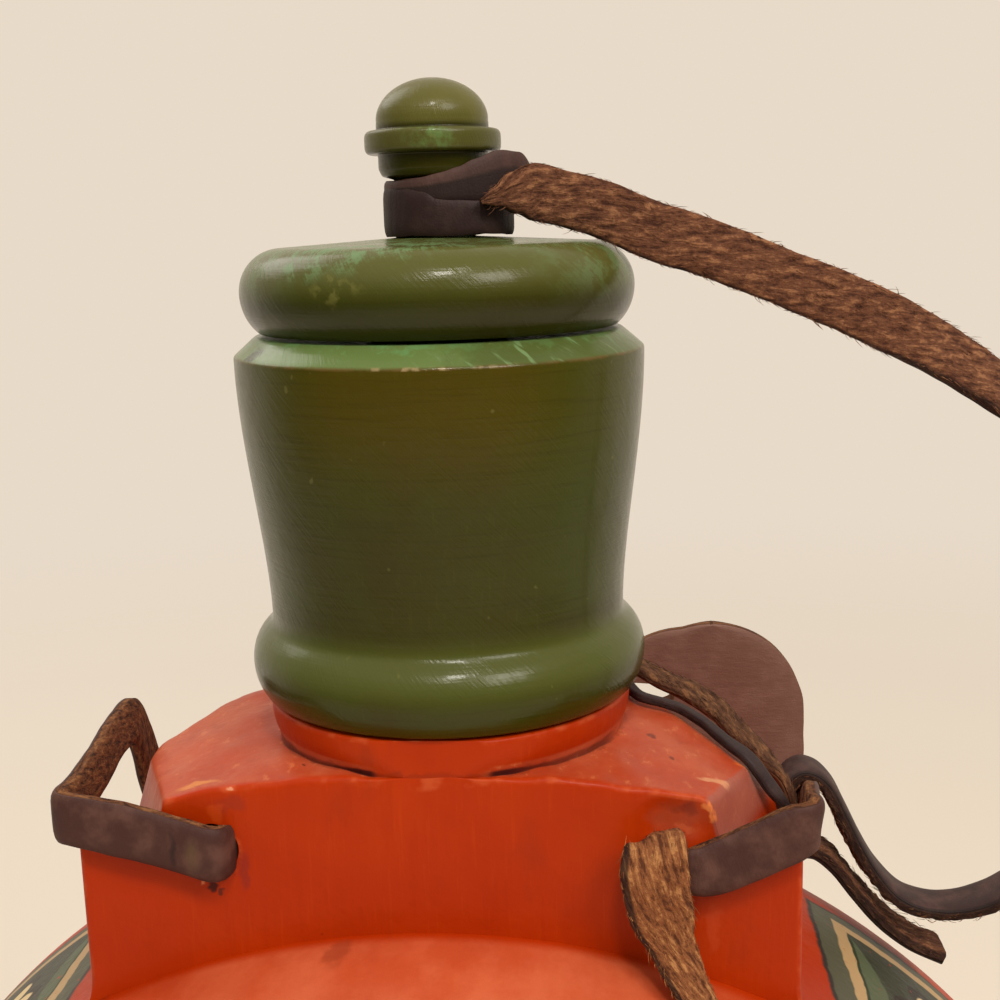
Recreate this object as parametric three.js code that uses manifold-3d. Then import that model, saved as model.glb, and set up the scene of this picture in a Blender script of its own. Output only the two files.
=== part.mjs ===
// A turned wooden canteen that stands upright: a round flat body with a squared shoulder, a turned
// neck and stopper, and leather laces, lanyard and carrying strap. Millimetres, +Z up, front towards -Y.
// The origin is the middle of the base, below the neck's axis.
import * as THREE from "three";
import { mergeVertices } from "three/addons/utils/BufferGeometryUtils.js";
import Module from "manifold-3d";

const wasm = await Module();
wasm.setup();
const { Manifold, Mesh: SolidMesh } = wasm;

// Shared fits
const glueGap = 0.3; // between pieces that are pressed or glued together
const layGap = 0.4; // between leather and what it lies on

// Body, round part
const bodyRadius = 80;
const footHeight = 6; // how far the foot's flat base is below the round part
const slabFront = 19.3; // front face of shoulder, rim and foot, ahead of the neck's axis
const slabBack = 19.3;
const backEdgeRound = 9; // worn edge round the back
const rollWidth = 14; // radial width of the round-over at the front
const rollDepth = 17;
const faceCrown = 3; // how far the middle of the front stands ahead of the roll
const ringRadii = [17, 41, 62]; // turned rings on front and back
const ringWidth = 3;
const ringDepth = 1.3;
const cavityRadius = 60;
const cavityRound = 14; // of its front corner
const frontWall = 9;

// Body, shoulder and foot
const shoulderLift = 16; // shoulder top above the top of the round part
const shoulderHalf = 35.2;
const shoulderFlat = 8; // half of the level part of the top
const shoulderBend = 75; // radius with which the top falls away towards its ends
const ledgeDrop = 7; // above this ledge the ends of the shoulder are cut back
const ledgeFall = 0.45; // how much the ledge falls per millimetre towards the back
const endInset = 2.4; // of the cut-back ends at the top
const facetInset = 9; // of the slanted front cuts, where they begin on the front edge
const facetRun = 5.1; // how far a slanted cut moves outwards and back along the top
const facetBack = 12.3;
const cutLean = 0.31; // how far the cuts move outwards per millimetre down
const cornerInset = 7.7; // back corners of the top, cut off between two points and down to a third
const cornerY = 10.5;
const cornerEndInset = 2.3;
const cornerDeepInset = 1.2;
const cornerDeepY = 8;
const wearInset = 12.1; // right back corner, cut away below the laces: where that cut begins
const wearY = 5;
const wearDeepInset = 2.7; // a point on the cut's lower part
const wearDeepY = 2;
const wearDrop = 9;
const footHalf = 42;
const laceHoleX = 21.8;
const laceHoleDrop = { right: 8.2, left: 7.35 }; // below the shoulder top
const laceHoleRadius = 2.7;

// Collar below the neck
const collarHalf = 18.5; // half width of its foot
const collarTopHalf = 19.2;
const collarStretch = 1.045; // longer from front to back than from side to side
const collarHeight = 3.8;

// Back disc that closes the hollow
const discRadius = 66;
const discSeat = 6; // depth of its rebate
const discRise = 5;
const discRoll = 9;
const discCrown = 3;
const discWall = 8;

// Neck
const boreRadius = 7.6;
const tenonRadius = 11;
const tenonLength = 20; // below the collar's top
const beadRadius = 20.85;
const beadRound = 3.5; // radial half width of the bead
const beadBelow = 4.6; // heights of the bead below and above its widest ring
const beadAbove = 4.28;
const beadHeight = 7.4; // of the bead as it shows
const beadWidest = 3.4; // the widest ring, above the bead's foot
const waistRadius = 18.6;
const barrelRadius = 21.03;
const barrelTop = 35.15; // above the foot of the bead
const waistPull = 15.7; // heights at which the barrel's two curves are held upright
const barrelPull = 25.6;
const chamferWidth = 2.25;
const chamferHeight = 1.95;

// Stopper
const plugLength = 26;
const plugTopRadius = 7.2;
const plugTipRadius = 6.5;
const plugChamfer = 1;
const bunRadius = 20.1;
const bunRound = 4.3; // radial half width of the bun's edge
const bunLower = 4; // heights of the bun below and above its widest ring
const bunUpper = 4.4;
const bunLowerRound = 4.9;
const bunCrown = 0.7;
const grooveRadius = 4; // in which the noose lies
const grooveHeight = 6.2;
const flareRadius = 5.55;
const flareHeight = 2;
const finialRingRadius = 6.87;
const finialRingHeight = 2.6;
const finialRadius = 5.65;
const finialStraight = 1.2;
const finialDome = 3.6;

// Leather
const laceThick = 1.8;
const laceWidth = 5.2;
const neckLaceWidth = 2.6;
const neckLaceThick = 1.4;
const underLaceWidth = 1.6;
const underLaceThick = 1.1;
const lanyardWidth = 5.5;
const tailWidth = 6.4;
const strapWidth = 22.5;
const strapThick = 2.4;
const slitLength = 9;
const slitWide = 6;
const slitSpan = 12; // between the two slits near each end of the strap
const tabX = 29.7; // middle of the strap behind each shoulder
const tabDrop = { right: 8.4, left: 21.5 }; // middle of each rounded end, below the shoulder top
const endShift = [3.2, 0.6]; // of the rounded end's inner half, inwards and down
const slitDrop = { right: 20, left: 24.5 };
const notchDrop = [4.4, 7.4]; // notch in the strap's edge beside the neck, from and to
const notchReach = 4.9; // how near it comes to the middle of the strap
const lanyardY = 9.2; // where the lanyard goes round the right lace
const lanyardDrop = 14.9;

// Heights and depths that follow
const bodyZ = footHeight + bodyRadius;
const shoulderZ = bodyZ + bodyRadius + shoulderLift;
const collarZ = shoulderZ + collarHeight;
const neckZ = collarZ + glueGap;
const rimZ = neckZ + barrelTop + chamferHeight;
const seatZ = rimZ + glueGap;
const bunZ = seatZ + bunLower;
const bunTopZ = bunZ + bunUpper;
const grooveZ = bunTopZ + bunCrown;
const flareZ = grooveZ + grooveHeight;
const finialZ = flareZ + flareHeight;
const rollFront = slabFront + rollDepth;
const discFaceY = slabBack + discRise;

const wood = { red: 0xb8401a, green: 0x4c6a26 };
const leather = { smooth: 0x40302c, strap: 0x6a443a, suede: 0x8c5a30 };

// A three.js geometry as a solid for joining and cutting.
function solid(geometry) {
  const bare = new THREE.BufferGeometry();
  const flat = geometry.index ? geometry.toNonIndexed() : geometry;
  bare.setAttribute("position", flat.getAttribute("position"));
  const merged = mergeVertices(bare, 1e-4);
  return new Manifold(
    new SolidMesh({
      numProp: 3,
      vertProperties: new Float32Array(merged.attributes.position.array),
      triVerts: new Uint32Array(merged.index.array),
    }),
  );
}

// A solid, or a geometry, as a named mesh.
function piece(name, form, color) {
  let geometry = form;
  if (!form.isBufferGeometry) {
    const made = form.getMesh();
    geometry = new THREE.BufferGeometry();
    geometry.setAttribute("position", new THREE.BufferAttribute(made.vertProperties, 3));
    geometry.setIndex(new THREE.BufferAttribute(made.triVerts, 1));
  }
  const mesh = new THREE.Mesh(geometry, new THREE.MeshStandardMaterial({ color }));
  mesh.name = name;
  return mesh;
}

// Revolves a path of (radius, height) about the Z axis.
function turnedZ(path, segments, divisions) {
  const geometry = new THREE.LatheGeometry(path.getPoints(divisions), segments);
  return geometry.rotateX(Math.PI / 2);
}

// Revolves a path of (radius, depth) about the round part's own axis, which runs along Y.
function turnedY(path, segments, divisions) {
  const geometry = new THREE.LatheGeometry(path.getPoints(divisions), segments);
  return geometry.translate(0, 0, bodyZ);
}

function cylinderY(radius, from, to, x, z, segments) {
  const geometry = new THREE.CylinderGeometry(radius, radius, to - from, segments);
  return solid(geometry.translate(x, (from + to) / 2, z));
}

function cylinderZ(radius, from, to, segments) {
  const geometry = new THREE.CylinderGeometry(radius, radius, to - from, segments);
  return solid(geometry.rotateX(Math.PI / 2).translate(0, 0, (from + to) / 2));
}

// A turned ring: a shallow round groove across a path that runs outwards (way 1) or inwards (way -1).
function ringGroove(path, radius, level, depth, way) {
  path.lineTo(radius - (way * ringWidth) / 2, level);
  path.quadraticCurveTo(radius, level + 2 * depth, radius + (way * ringWidth) / 2, level);
}

// A leather strip swept along points, with the way its width lies at each of them and, where it is
// squeezed or tapers, the share of its width that it keeps there.
function strip(points, widths, width, thick, steps, shares = points.map(() => 1)) {
  const curve = new THREE.CatmullRomCurve3(
    points.map((p) => new THREE.Vector3(...p)),
    false,
    "centripetal",
  );
  const lies = new THREE.CatmullRomCurve3(
    widths.map((w) => new THREE.Vector3(...w)),
    false,
    "catmullrom",
    0,
  );
  const last = points.length - 1;
  const corners = [
    [-1, -1],
    [1, -1],
    [1, 1],
    [-1, 1],
  ];
  const position = [];
  for (let i = 0; i <= steps; i++) {
    const t = i / steps;
    const at = curve.getPoint(t);
    const along = curve.getTangent(t);
    const across = lies.getPoint(t);
    across.addScaledVector(along, -across.dot(along)).normalize();
    const before = Math.min(last - 1, Math.floor(t * last));
    const share = THREE.MathUtils.lerp(shares[before], shares[before + 1], t * last - before);
    const face = new THREE.Vector3().crossVectors(along, across);
    for (const [u, v] of corners) {
      const corner = at.clone().addScaledVector(across, (u * width * share) / 2);
      position.push(...corner.addScaledVector(face, (v * thick) / 2));
    }
  }
  const index = [0, 2, 1, 0, 3, 2];
  for (let i = 0; i < steps; i++) {
    for (let k = 0; k < 4; k++) {
      const a = 4 * i + k;
      const b = 4 * i + ((k + 1) % 4);
      index.push(a, b, b + 4, a, b + 4, a + 4);
    }
  }
  const end = 4 * steps;
  index.push(end, end + 1, end + 2, end, end + 2, end + 3);
  const geometry = new THREE.BufferGeometry();
  geometry.setAttribute("position", new THREE.Float32BufferAttribute(position, 3));
  return geometry.setIndex(index);
}

// Body: rim, shoulder and foot are one slab with a rounded back edge; the front is turned on to it.
function shoulderFall(x) {
  return Math.max(0, Math.abs(x) - shoulderFlat) ** 2 / (2 * shoulderBend);
}

// Front view of the slab, anticlockwise from the right end of the foot.
function slabOutline() {
  const outline = [];
  const sideAngle = Math.acos(shoulderHalf / bodyRadius);
  const footAngle = Math.acos(footHalf / bodyRadius);
  const arcSteps = 26;
  const fallSteps = 4;
  outline.push([footHalf, 0]);
  for (let i = 0; i <= arcSteps; i++) {
    const angle = -footAngle + ((sideAngle + footAngle) * i) / arcSteps;
    outline.push([bodyRadius * Math.cos(angle), bodyZ + bodyRadius * Math.sin(angle)]);
  }
  for (let i = 0; i <= fallSteps; i++) {
    const x = shoulderHalf + ((shoulderFlat - shoulderHalf) * i) / fallSteps;
    outline.push([x, shoulderZ - shoulderFall(x)]);
  }
  const left = outline.map(([x, z]) => [-x, z]);
  return [...outline, ...left.reverse()];
}

// Moves each point of an outline inwards, square to the edges that meet there.
function insetOutline(outline, inset) {
  return outline.map((here, i) => {
    const before = outline.at(i - 1);
    const after = outline[(i + 1) % outline.length];
    const [a, b] = [
      [before, here],
      [here, after],
    ].map(([p, q]) => {
      const length = Math.hypot(q[0] - p[0], q[1] - p[1]);
      return [(q[1] - p[1]) / length, (p[0] - q[0]) / length];
    });
    const share = inset / (1 + a[0] * b[0] + a[1] * b[1]);
    return [here[0] - share * (a[0] + b[0]), here[1] - share * (a[1] + b[1])];
  });
}

function slab() {
  const outline = slabOutline();
  const count = outline.length;
  const layers = [[-slabFront, 0]];
  const roundSteps = 4;
  for (let i = 0; i <= roundSteps; i++) {
    const angle = (Math.PI / 2) * (i / roundSteps);
    const y = slabBack - backEdgeRound * (1 - Math.sin(angle));
    layers.push([y, backEdgeRound * (1 - Math.cos(angle))]);
  }
  const position = [0, -slabFront, bodyZ];
  for (const [y, inset] of layers) {
    for (const [x, z] of insetOutline(outline, inset)) position.push(x, y, z);
  }
  position.push(0, slabBack, bodyZ);
  const last = 1 + count * layers.length;
  const index = [];
  for (let k = 0; k < count; k++) {
    const next = (k + 1) % count;
    index.push(0, 1 + k, 1 + next);
    for (let j = 0; j + 1 < layers.length; j++) {
      const row = 1 + j * count;
      index.push(row + k, row + count + next, row + next);
      index.push(row + k, row + count + k, row + count + next);
    }
    index.push(last, last - count + next, last - count + k);
  }
  const geometry = new THREE.BufferGeometry();
  geometry.setAttribute("position", new THREE.Float32BufferAttribute(position, 3));
  return solid(geometry.setIndex(index));
}

// A point of the shoulder's top, on the right.
function onTop(x, y) {
  return new THREE.Vector3(x, y, shoulderZ - shoulderFall(x));
}

// Cuts away what is outside the plane through three points and above the ledge, at one end.
function endCut(form, side, points) {
  const [a, b, c] = points;
  const normal = b.clone().sub(a).cross(c.clone().sub(a)).normalize();
  if (normal.x < 0) normal.negate();
  const from = shoulderHalf - wearInset - facetInset;
  const depth = ledgeDrop + ledgeFall * (slabFront + slabBack);
  const size = [shoulderHalf + layGap - from, 3 * slabFront, depth + layGap];
  const box = new THREE.BoxGeometry(...size);
  box.translate(side * (from + size[0] / 2), 0, shoulderZ + layGap - size[2] / 2);
  const ledge = new THREE.Vector3(0, ledgeFall, 1).normalize();
  const ledgeFront = new THREE.Vector3(0, -slabFront, shoulderZ - ledgeDrop);
  const outside = solid(box)
    .trimByPlane([side * normal.x, normal.y, normal.z], normal.dot(a))
    .trimByPlane(ledge.toArray(), ledge.dot(ledgeFront));
  return form.subtract(outside);
}

// The ends of the shoulder: a slanted cut in front, an upright one behind it, the back corners and,
// on the right, a deeper cut there that the laces run over.
function shoulderEnds(slabForm) {
  const lean = new THREE.Vector3(cutLean, 0, -1);
  const front = onTop(shoulderHalf - facetInset, -slabFront);
  const turn = onTop(front.x + facetRun, facetBack - slabFront);
  const side = onTop(shoulderHalf - endInset, 0);
  const sideBack = side.clone().setY(slabBack);
  const corner = [
    onTop(shoulderHalf - cornerInset, cornerY),
    onTop(shoulderHalf - cornerEndInset, 0),
    new THREE.Vector3(shoulderHalf - cornerDeepInset, cornerDeepY, shoulderZ - wearDrop),
  ];
  const wear = [
    onTop(shoulderHalf - wearInset, wearY),
    turn,
    new THREE.Vector3(shoulderHalf - wearDeepInset, wearDeepY, shoulderZ - wearDrop),
  ];
  let form = slabForm;
  for (const end of [1, -1]) {
    form = endCut(form, end, [front, turn, front.clone().add(lean)]);
    form = endCut(form, end, [side, sideBack, side.clone().add(lean)]);
    form = endCut(form, end, corner);
  }
  return endCut(form, 1, wear);
}

function frontTurning() {
  const path = new THREE.Path();
  const inner = bodyRadius - rollWidth;
  path.moveTo(0, -rollFront - faceCrown);
  for (const radius of ringRadii) {
    const level = -rollFront - faceCrown * (1 - radius / inner);
    ringGroove(path, radius, level, ringDepth, 1);
  }
  path.absellipse(inner, -slabFront, rollWidth, rollDepth, -Math.PI / 2, 0, false);
  path.lineTo(bodyRadius, -slabFront + glueGap);
  path.lineTo(0, -slabFront + glueGap);
  return solid(turnedY(path, 48, 3));
}

function cavity() {
  const path = new THREE.Path();
  const floor = -rollFront + frontWall;
  const seat = slabBack - discSeat;
  path.moveTo(0, floor);
  path.lineTo(cavityRadius - cavityRound, floor);
  path.absarc(cavityRadius - cavityRound, floor + cavityRound, cavityRound, -Math.PI / 2, 0, false);
  path.lineTo(cavityRadius, seat);
  path.lineTo(discRadius, seat);
  path.lineTo(discRadius, slabBack + layGap);
  path.lineTo(0, slabBack + layGap);
  return solid(turnedY(path, 48, 2));
}

function collar() {
  const path = new THREE.Path();
  path.moveTo(0, shoulderZ - ledgeDrop);
  path.lineTo(collarHalf, shoulderZ - ledgeDrop);
  path.lineTo(collarHalf, shoulderZ);
  path.quadraticCurveTo(collarTopHalf, shoulderZ + collarHeight / 3, collarTopHalf, collarZ);
  path.lineTo(0, collarZ);
  const turned = turnedZ(path, 44, 2).scale(1, collarStretch, 1);
  return solid(turned).trimByPlane([0, 1, 0], -slabFront);
}

function body() {
  let form = shoulderEnds(slab());
  form = form.add(frontTurning()).add(collar()).subtract(cavity());
  const socketFloor = collarZ - tenonLength - glueGap;
  form = form.subtract(cylinderZ(tenonRadius + glueGap, socketFloor, collarZ + glueGap, 32));
  form = form.subtract(cylinderZ(boreRadius, bodyZ, socketFloor + glueGap, 32));
  for (const [x, drop] of [
    [laceHoleX, laceHoleDrop.right],
    [-laceHoleX, laceHoleDrop.left],
  ]) {
    const hole = cylinderY(laceHoleRadius, -rollFront, slabBack + glueGap, x, shoulderZ - drop, 24);
    form = form.subtract(hole);
  }
  return form;
}

function backDisc() {
  const path = new THREE.Path();
  const seat = slabBack - discSeat + glueGap;
  const edge = discRadius - glueGap;
  const inner = edge - discRoll;
  const inside = discFaceY + discCrown - discWall;
  path.moveTo(0, inside);
  path.lineTo(inner - discRoll, inside);
  path.lineTo(inner, seat);
  path.lineTo(edge, seat);
  path.lineTo(edge, slabBack);
  path.absellipse(inner, slabBack, discRoll, discRise, 0, Math.PI / 2, false);
  for (const radius of ringRadii.filter((r) => r < inner - ringWidth).reverse()) {
    const level = discFaceY + discCrown * (1 - radius / inner);
    ringGroove(path, radius, level, -ringDepth, -1);
  }
  path.lineTo(0, discFaceY + discCrown);
  return turnedY(path, 48, 2);
}

function neck() {
  const path = new THREE.Path();
  const tenonZ = collarZ - tenonLength;
  const beadZ = neckZ + beadWidest;
  const beadIn = beadRadius - beadRound;
  const footAngle = -Math.asin(beadWidest / beadBelow);
  const topAngle = Math.asin((beadHeight - beadWidest) / beadAbove);
  const shoulder = neckZ + barrelTop;
  path.moveTo(boreRadius, tenonZ);
  path.lineTo(tenonRadius, tenonZ);
  path.lineTo(tenonRadius, neckZ);
  path.absellipse(beadIn, beadZ, beadRound, beadBelow, footAngle, 0, false);
  path.absellipse(beadIn, beadZ, beadRound, beadAbove, 0, topAngle, false);
  path.lineTo(waistRadius, neckZ + beadHeight + glueGap);
  path.bezierCurveTo(
    waistRadius,
    neckZ + waistPull,
    barrelRadius,
    neckZ + barrelPull,
    barrelRadius,
    shoulder,
  );
  path.lineTo(barrelRadius - chamferWidth, rimZ);
  path.lineTo(boreRadius, rimZ);
  path.lineTo(boreRadius, tenonZ);
  return turnedZ(path, 44, 4);
}

function stopper() {
  const path = new THREE.Path();
  const bunIn = bunRadius - bunRound;
  const footAngle = -Math.asin(bunLower / bunLowerRound);
  const ringZ = finialZ + finialRingHeight;
  const ringRound = finialRingHeight / 4;
  const domeZ = ringZ + finialStraight;
  path.moveTo(0, seatZ - plugLength);
  path.lineTo(plugTipRadius - plugChamfer, seatZ - plugLength);
  path.lineTo(plugTipRadius, seatZ - plugLength + plugChamfer);
  path.lineTo(plugTopRadius, seatZ);
  path.absellipse(bunIn, bunZ, bunRound, bunLowerRound, footAngle, 0, false);
  path.absellipse(bunIn, bunZ, bunRound, bunUpper, 0, Math.PI / 2, false);
  path.lineTo(grooveRadius, grooveZ);
  path.lineTo(grooveRadius, flareZ);
  path.quadraticCurveTo(flareRadius, flareZ, flareRadius, flareZ + flareHeight / 2);
  path.lineTo(flareRadius, finialZ);
  path.lineTo(finialRingRadius - ringRound / 2, finialZ);
  path.lineTo(finialRingRadius, finialZ + ringRound);
  path.lineTo(finialRingRadius, ringZ - ringRound);
  path.lineTo(finialRingRadius - ringRound / 2, ringZ);
  path.lineTo(finialRadius, ringZ);
  path.lineTo(finialRadius, domeZ);
  path.absellipse(0, domeZ, finialRadius, finialDome, 0, Math.PI / 2, false);
  return turnedZ(path, 44, 3);
}

// Noose: the slit end of the lanyard drawn round the groove of the finial, with the lug it leaves by.
const nooseInner = grooveRadius + glueGap;
const nooseOuter = nooseInner + laceThick;
const nooseMidZ = grooveZ + grooveHeight / 2;
const nooseLug = 3;
function noose() {
  const path = new THREE.Path();
  const half = lanyardWidth / 2;
  path.moveTo(nooseInner, nooseMidZ - half);
  path.lineTo(nooseOuter, nooseMidZ - half);
  path.lineTo(nooseOuter, nooseMidZ + half);
  path.lineTo(nooseInner, nooseMidZ + half);
  path.lineTo(nooseInner, nooseMidZ - half);
  const ring = solid(turnedZ(path, 32, 1));
  const lug = new THREE.BoxGeometry(nooseLug + glueGap, laceThick, lanyardWidth);
  lug.translate(nooseOuter + nooseLug / 2, -laceThick, nooseMidZ);
  return ring.add(solid(lug));
}

// Where the laces and the strap lie, off the shoulder
const sideX = shoulderHalf + 2 * laceThick + layGap; // room for the lanyard inside the right lace
const frontY = -slabFront - layGap - laceThick / 2;
const backY = slabBack + layGap + laceThick / 2;
const strapY = slabBack + 2 * layGap + laceThick + strapThick / 2;
const behindY = strapY + strapThick / 2 + layGap + laceThick / 2;
const slitHalf = slitSpan / 2;
const inHole = laceHoleX + laceThick / 2 + glueGap;

// Lanyard: from the noose over the bun's edge, down beside the shoulder and round the right lace.
function lanyard() {
  const start = nooseOuter + nooseLug + 2 * glueGap;
  const inner = sideX - laceThick - layGap;
  const over = laceWidth / 2 + laceThick / 2 + 2 * layGap;
  const points = [
    [start, -laceThick, nooseMidZ - shoulderZ],
    [16.7, -4.2, 52.9],
    [22, -4.5, 50.6],
    [27, -4.6, 48.9],
    [35, -4.2, 45.6],
    [sideX + 4, -3.4, 42],
    [sideX + 13, -2, 37],
    [sideX + 21.3, -0.5, 30.5],
    [sideX + 27.8, 0.8, 21.5],
    [sideX + 31.8, 1.8, 11],
    [sideX + 33, 3, 0],
    [sideX + 31, 4, -10],
    [sideX + 26.6, 5, -18.5],
    [sideX + 21, 6, -24],
    [sideX + 15.5, 7, -26],
    [sideX + 11, 7.6, -25.2],
    [sideX + 8, lanyardY, -22.6],
    [sideX + 5.8, lanyardY, -19],
    [sideX + 4, lanyardY, -15.2],
    [sideX + 2.5, lanyardY, -12.2],
    [sideX + 1, lanyardY, over - 0.1 - lanyardDrop],
    [sideX - 0.6, lanyardY, over + 0.2 - lanyardDrop],
    [inner, lanyardY, over - 1.6 - lanyardDrop],
    [inner, lanyardY, 1.6 - over - lanyardDrop],
    [sideX - 0.6, lanyardY, -over - 0.2 - lanyardDrop],
    [sideX + 1.2, lanyardY, -over - 0.6 - lanyardDrop],
    [sideX + 3.3, lanyardY, -21.5],
    [sideX + 6, lanyardY, -25],
    [sideX + 8.8, lanyardY, -28.2],
    [sideX + 12.3, lanyardY, -31],
    [sideX + 15.8, lanyardY, -32.6],
  ];
  const placed = points.map(([x, y, z]) => [x, y, shoulderZ + z]);
  const flatTo = 5; // the strip stands on edge up to this point and then turns a quarter
  const widths = points.map((p, i) => {
    const turn = Math.min(1, Math.max(0, (i - flatTo) / 4)) * (Math.PI / 2);
    return [0, Math.sin(turn), Math.cos(turn)];
  });
  return strip(placed, widths, lanyardWidth, laceThick, 110);
}

// The end of a shoulder lace behind the strap: through both slits and up into the lace's hole. Each
// point has its place, the quarter turn of the strip and the share of its width.
function laceEnd(drop, holeDrop) {
  return [
    [tabX + slitHalf + 2.8, backY - 0.1, drop, 0, 1],
    [tabX + slitHalf, strapY, drop, 0, 1],
    [tabX + slitHalf - 2.4, behindY, drop, 0, 1],
    [tabX, behindY + 0.2, drop, 0, 1],
    [tabX - slitHalf + 2.4, behindY, drop, 0, 1],
    [tabX - slitHalf + 0.6, strapY - 0.2, drop - 0.2, 0, 0.95],
    [tabX - slitHalf - 2.2, backY + 0.1, drop - 2, 0.4, 0.9],
    [laceHoleX - 0.6, backY + 0.1, drop - 5.6, 0.9, 0.95],
    [laceHoleX, backY, holeDrop + 3.6, 1, 0.9],
    [laceHoleX, slabBack + 0.4, holeDrop + 0.8, 1, 0.68],
    [laceHoleX, slabBack - 4, holeDrop + 0.7, 1, 0.66],
    [laceHoleX, slabBack - 9, holeDrop + 0.7, 1, 0.66],
  ];
}

// Right shoulder lace: from its hole round the front corner, where it is tight, and back past the
// lanyard, which goes round it, to the strap's slits.
function rightLace() {
  const drop = laceHoleDrop.right;
  const points = [
    [inHole, 8 - slabFront, drop, 0, 0.5],
    [inHole, 1.6 - slabFront, drop, 0, 0.5],
    [inHole + 0.2, -slabFront - 0.8, drop - 0.2, 0, 0.55],
    [inHole + 1.4, frontY - 0.4, drop + 0.1, 0, 0.9],
    [inHole + 3, frontY - 0.3, drop + 0.1, 0, 1],
    [shoulderHalf - 6.5, frontY - 0.2, 7.3, 0, 1],
    [shoulderHalf - 2.1, frontY - 0.1, 5.2, 0, 1],
    [shoulderHalf - 0.1, frontY + 0.2, 4.2, 0.1, 0.95],
    [shoulderHalf + 0.6, -slabFront - 0.7, 3.8, 0.14, 0.8],
    [shoulderHalf + 0.9, 3 - slabFront, 4, 0.12, 0.66],
    [shoulderHalf + 1.8, -10, 6, 0.06, 0.72],
    [shoulderHalf + 3.2, -1.5, 10.4, 0, 0.95],
    [sideX, lanyardY - 4, lanyardDrop - 0.6, 0, 1],
    [sideX, lanyardY, lanyardDrop, 0, 1],
    [sideX, lanyardY + 4, lanyardDrop + 0.4, 0, 1],
    [sideX - 0.2, slabBack - 2, slitDrop.right - 1.6, 0, 1],
    ...laceEnd(slitDrop.right, drop),
  ];
  const placed = points.map(([x, y, down]) => [x, y, shoulderZ - down]);
  const widths = points.map(([, , , turn]) => [turn, 0, 1 - turn]);
  const shares = points.map((p) => p.at(-1));
  return strip(placed, widths, laceWidth, laceThick, 116, shares);
}

// Left shoulder lace: the same on the left, where the strap hangs lower.
function leftLace() {
  const x = laceHoleX - 0.5;
  const drop = laceHoleDrop.left;
  const points = [
    [x, 8 - slabFront, drop, 0, 0.76],
    [x, 2.2 - slabFront, drop, 0, 0.78],
    [x + 0.7, frontY - 0.1, drop - 0.3, 0, 0.96],
    [x + 3.3, frontY - 0.3, drop - 1.2, 0, 1],
    [shoulderHalf - 7, frontY - 0.3, 5.1, 0, 1],
    [shoulderHalf - 2.2, frontY - 0.1, 4.1, 0, 1],
    [shoulderHalf + 0.1, frontY + 0.2, 3.8, 0, 1],
    [shoulderHalf + 1.1, -slabFront - 0.7, 3.7, 0, 1],
    [shoulderHalf + 1.4, 3 - slabFront, 3.9, 0, 1],
    [shoulderHalf + 2, -8, 3.8, 0, 1],
    [shoulderHalf + 2.8, 1, 3.2, 0, 1],
    [shoulderHalf + 3.3, 7.5, 4, 0, 1],
    [shoulderHalf + 3.6, 11.2, 8, 0, 1],
    [shoulderHalf + 3.6, 13.4, 13, 0, 1],
    [shoulderHalf + 3.5, 16, 18.4, 0, 1],
    [shoulderHalf + 3.2, slabBack - 0.4, slitDrop.left - 1.6, 0, 1],
    ...laceEnd(slitDrop.left, drop),
  ];
  const placed = points.map(([px, py, down]) => [-px, py, shoulderZ - down]);
  const widths = points.map(([, , , turn]) => [turn, 0, turn - 1]);
  const shares = points.map((p) => p.at(-1));
  return strip(placed, widths, laceWidth, laceThick, 120, shares);
}

// Lace end that hangs from the right hole in front and over the roll, flesh side out.
function laceTail() {
  const x = laceHoleX - laceThick / 2 - glueGap;
  const drop = laceHoleDrop.right;
  const points = [
    [x, 8 - slabFront, drop, 0, 0.4],
    [x, 0.8 - slabFront, drop, 0, 0.4],
    [x - 0.1, frontY - 1.6, drop - 1.6, 0.75, 0.66],
    [x + 0.2, frontY - 2.7, drop - 0.2, 1, 0.98],
    [x + 0.9, frontY - 2.7, drop + 3.2, 1, 1.04],
    [x + 1.7, frontY - 3, drop + 7, 1, 0.92],
    [x + 3, frontY - 5.2, drop + 10.2, 1, 0.78],
    [x + 4.6, frontY - 9.2, drop + 12.6, 1, 0.68],
    [x + 6.2, frontY - 13.4, drop + 16, 1, 0.62],
    [x + 7.2, frontY - 16.4, drop + 21, 1, 0.6],
  ];
  const placed = points.map(([px, py, down]) => [px, py, shoulderZ - down]);
  const widths = points.map(([, , , turn]) => [turn, 0, 1 - turn]);
  const shares = points.map((p) => p.at(-1));
  return strip(placed, widths, tailWidth, laceThick, 44, shares);
}

// A place across the shoulder's top, as a share of the way from the collar's foot to the end.
function besideCollar(share) {
  return collarHalf + share * (shoulderHalf - collarHalf);
}

// A strand's place that far above the shoulder's top, with its drop below the highest line.
function overTop(x, y, rise) {
  return [x, y, shoulderFall(x) - rise];
}

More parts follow.
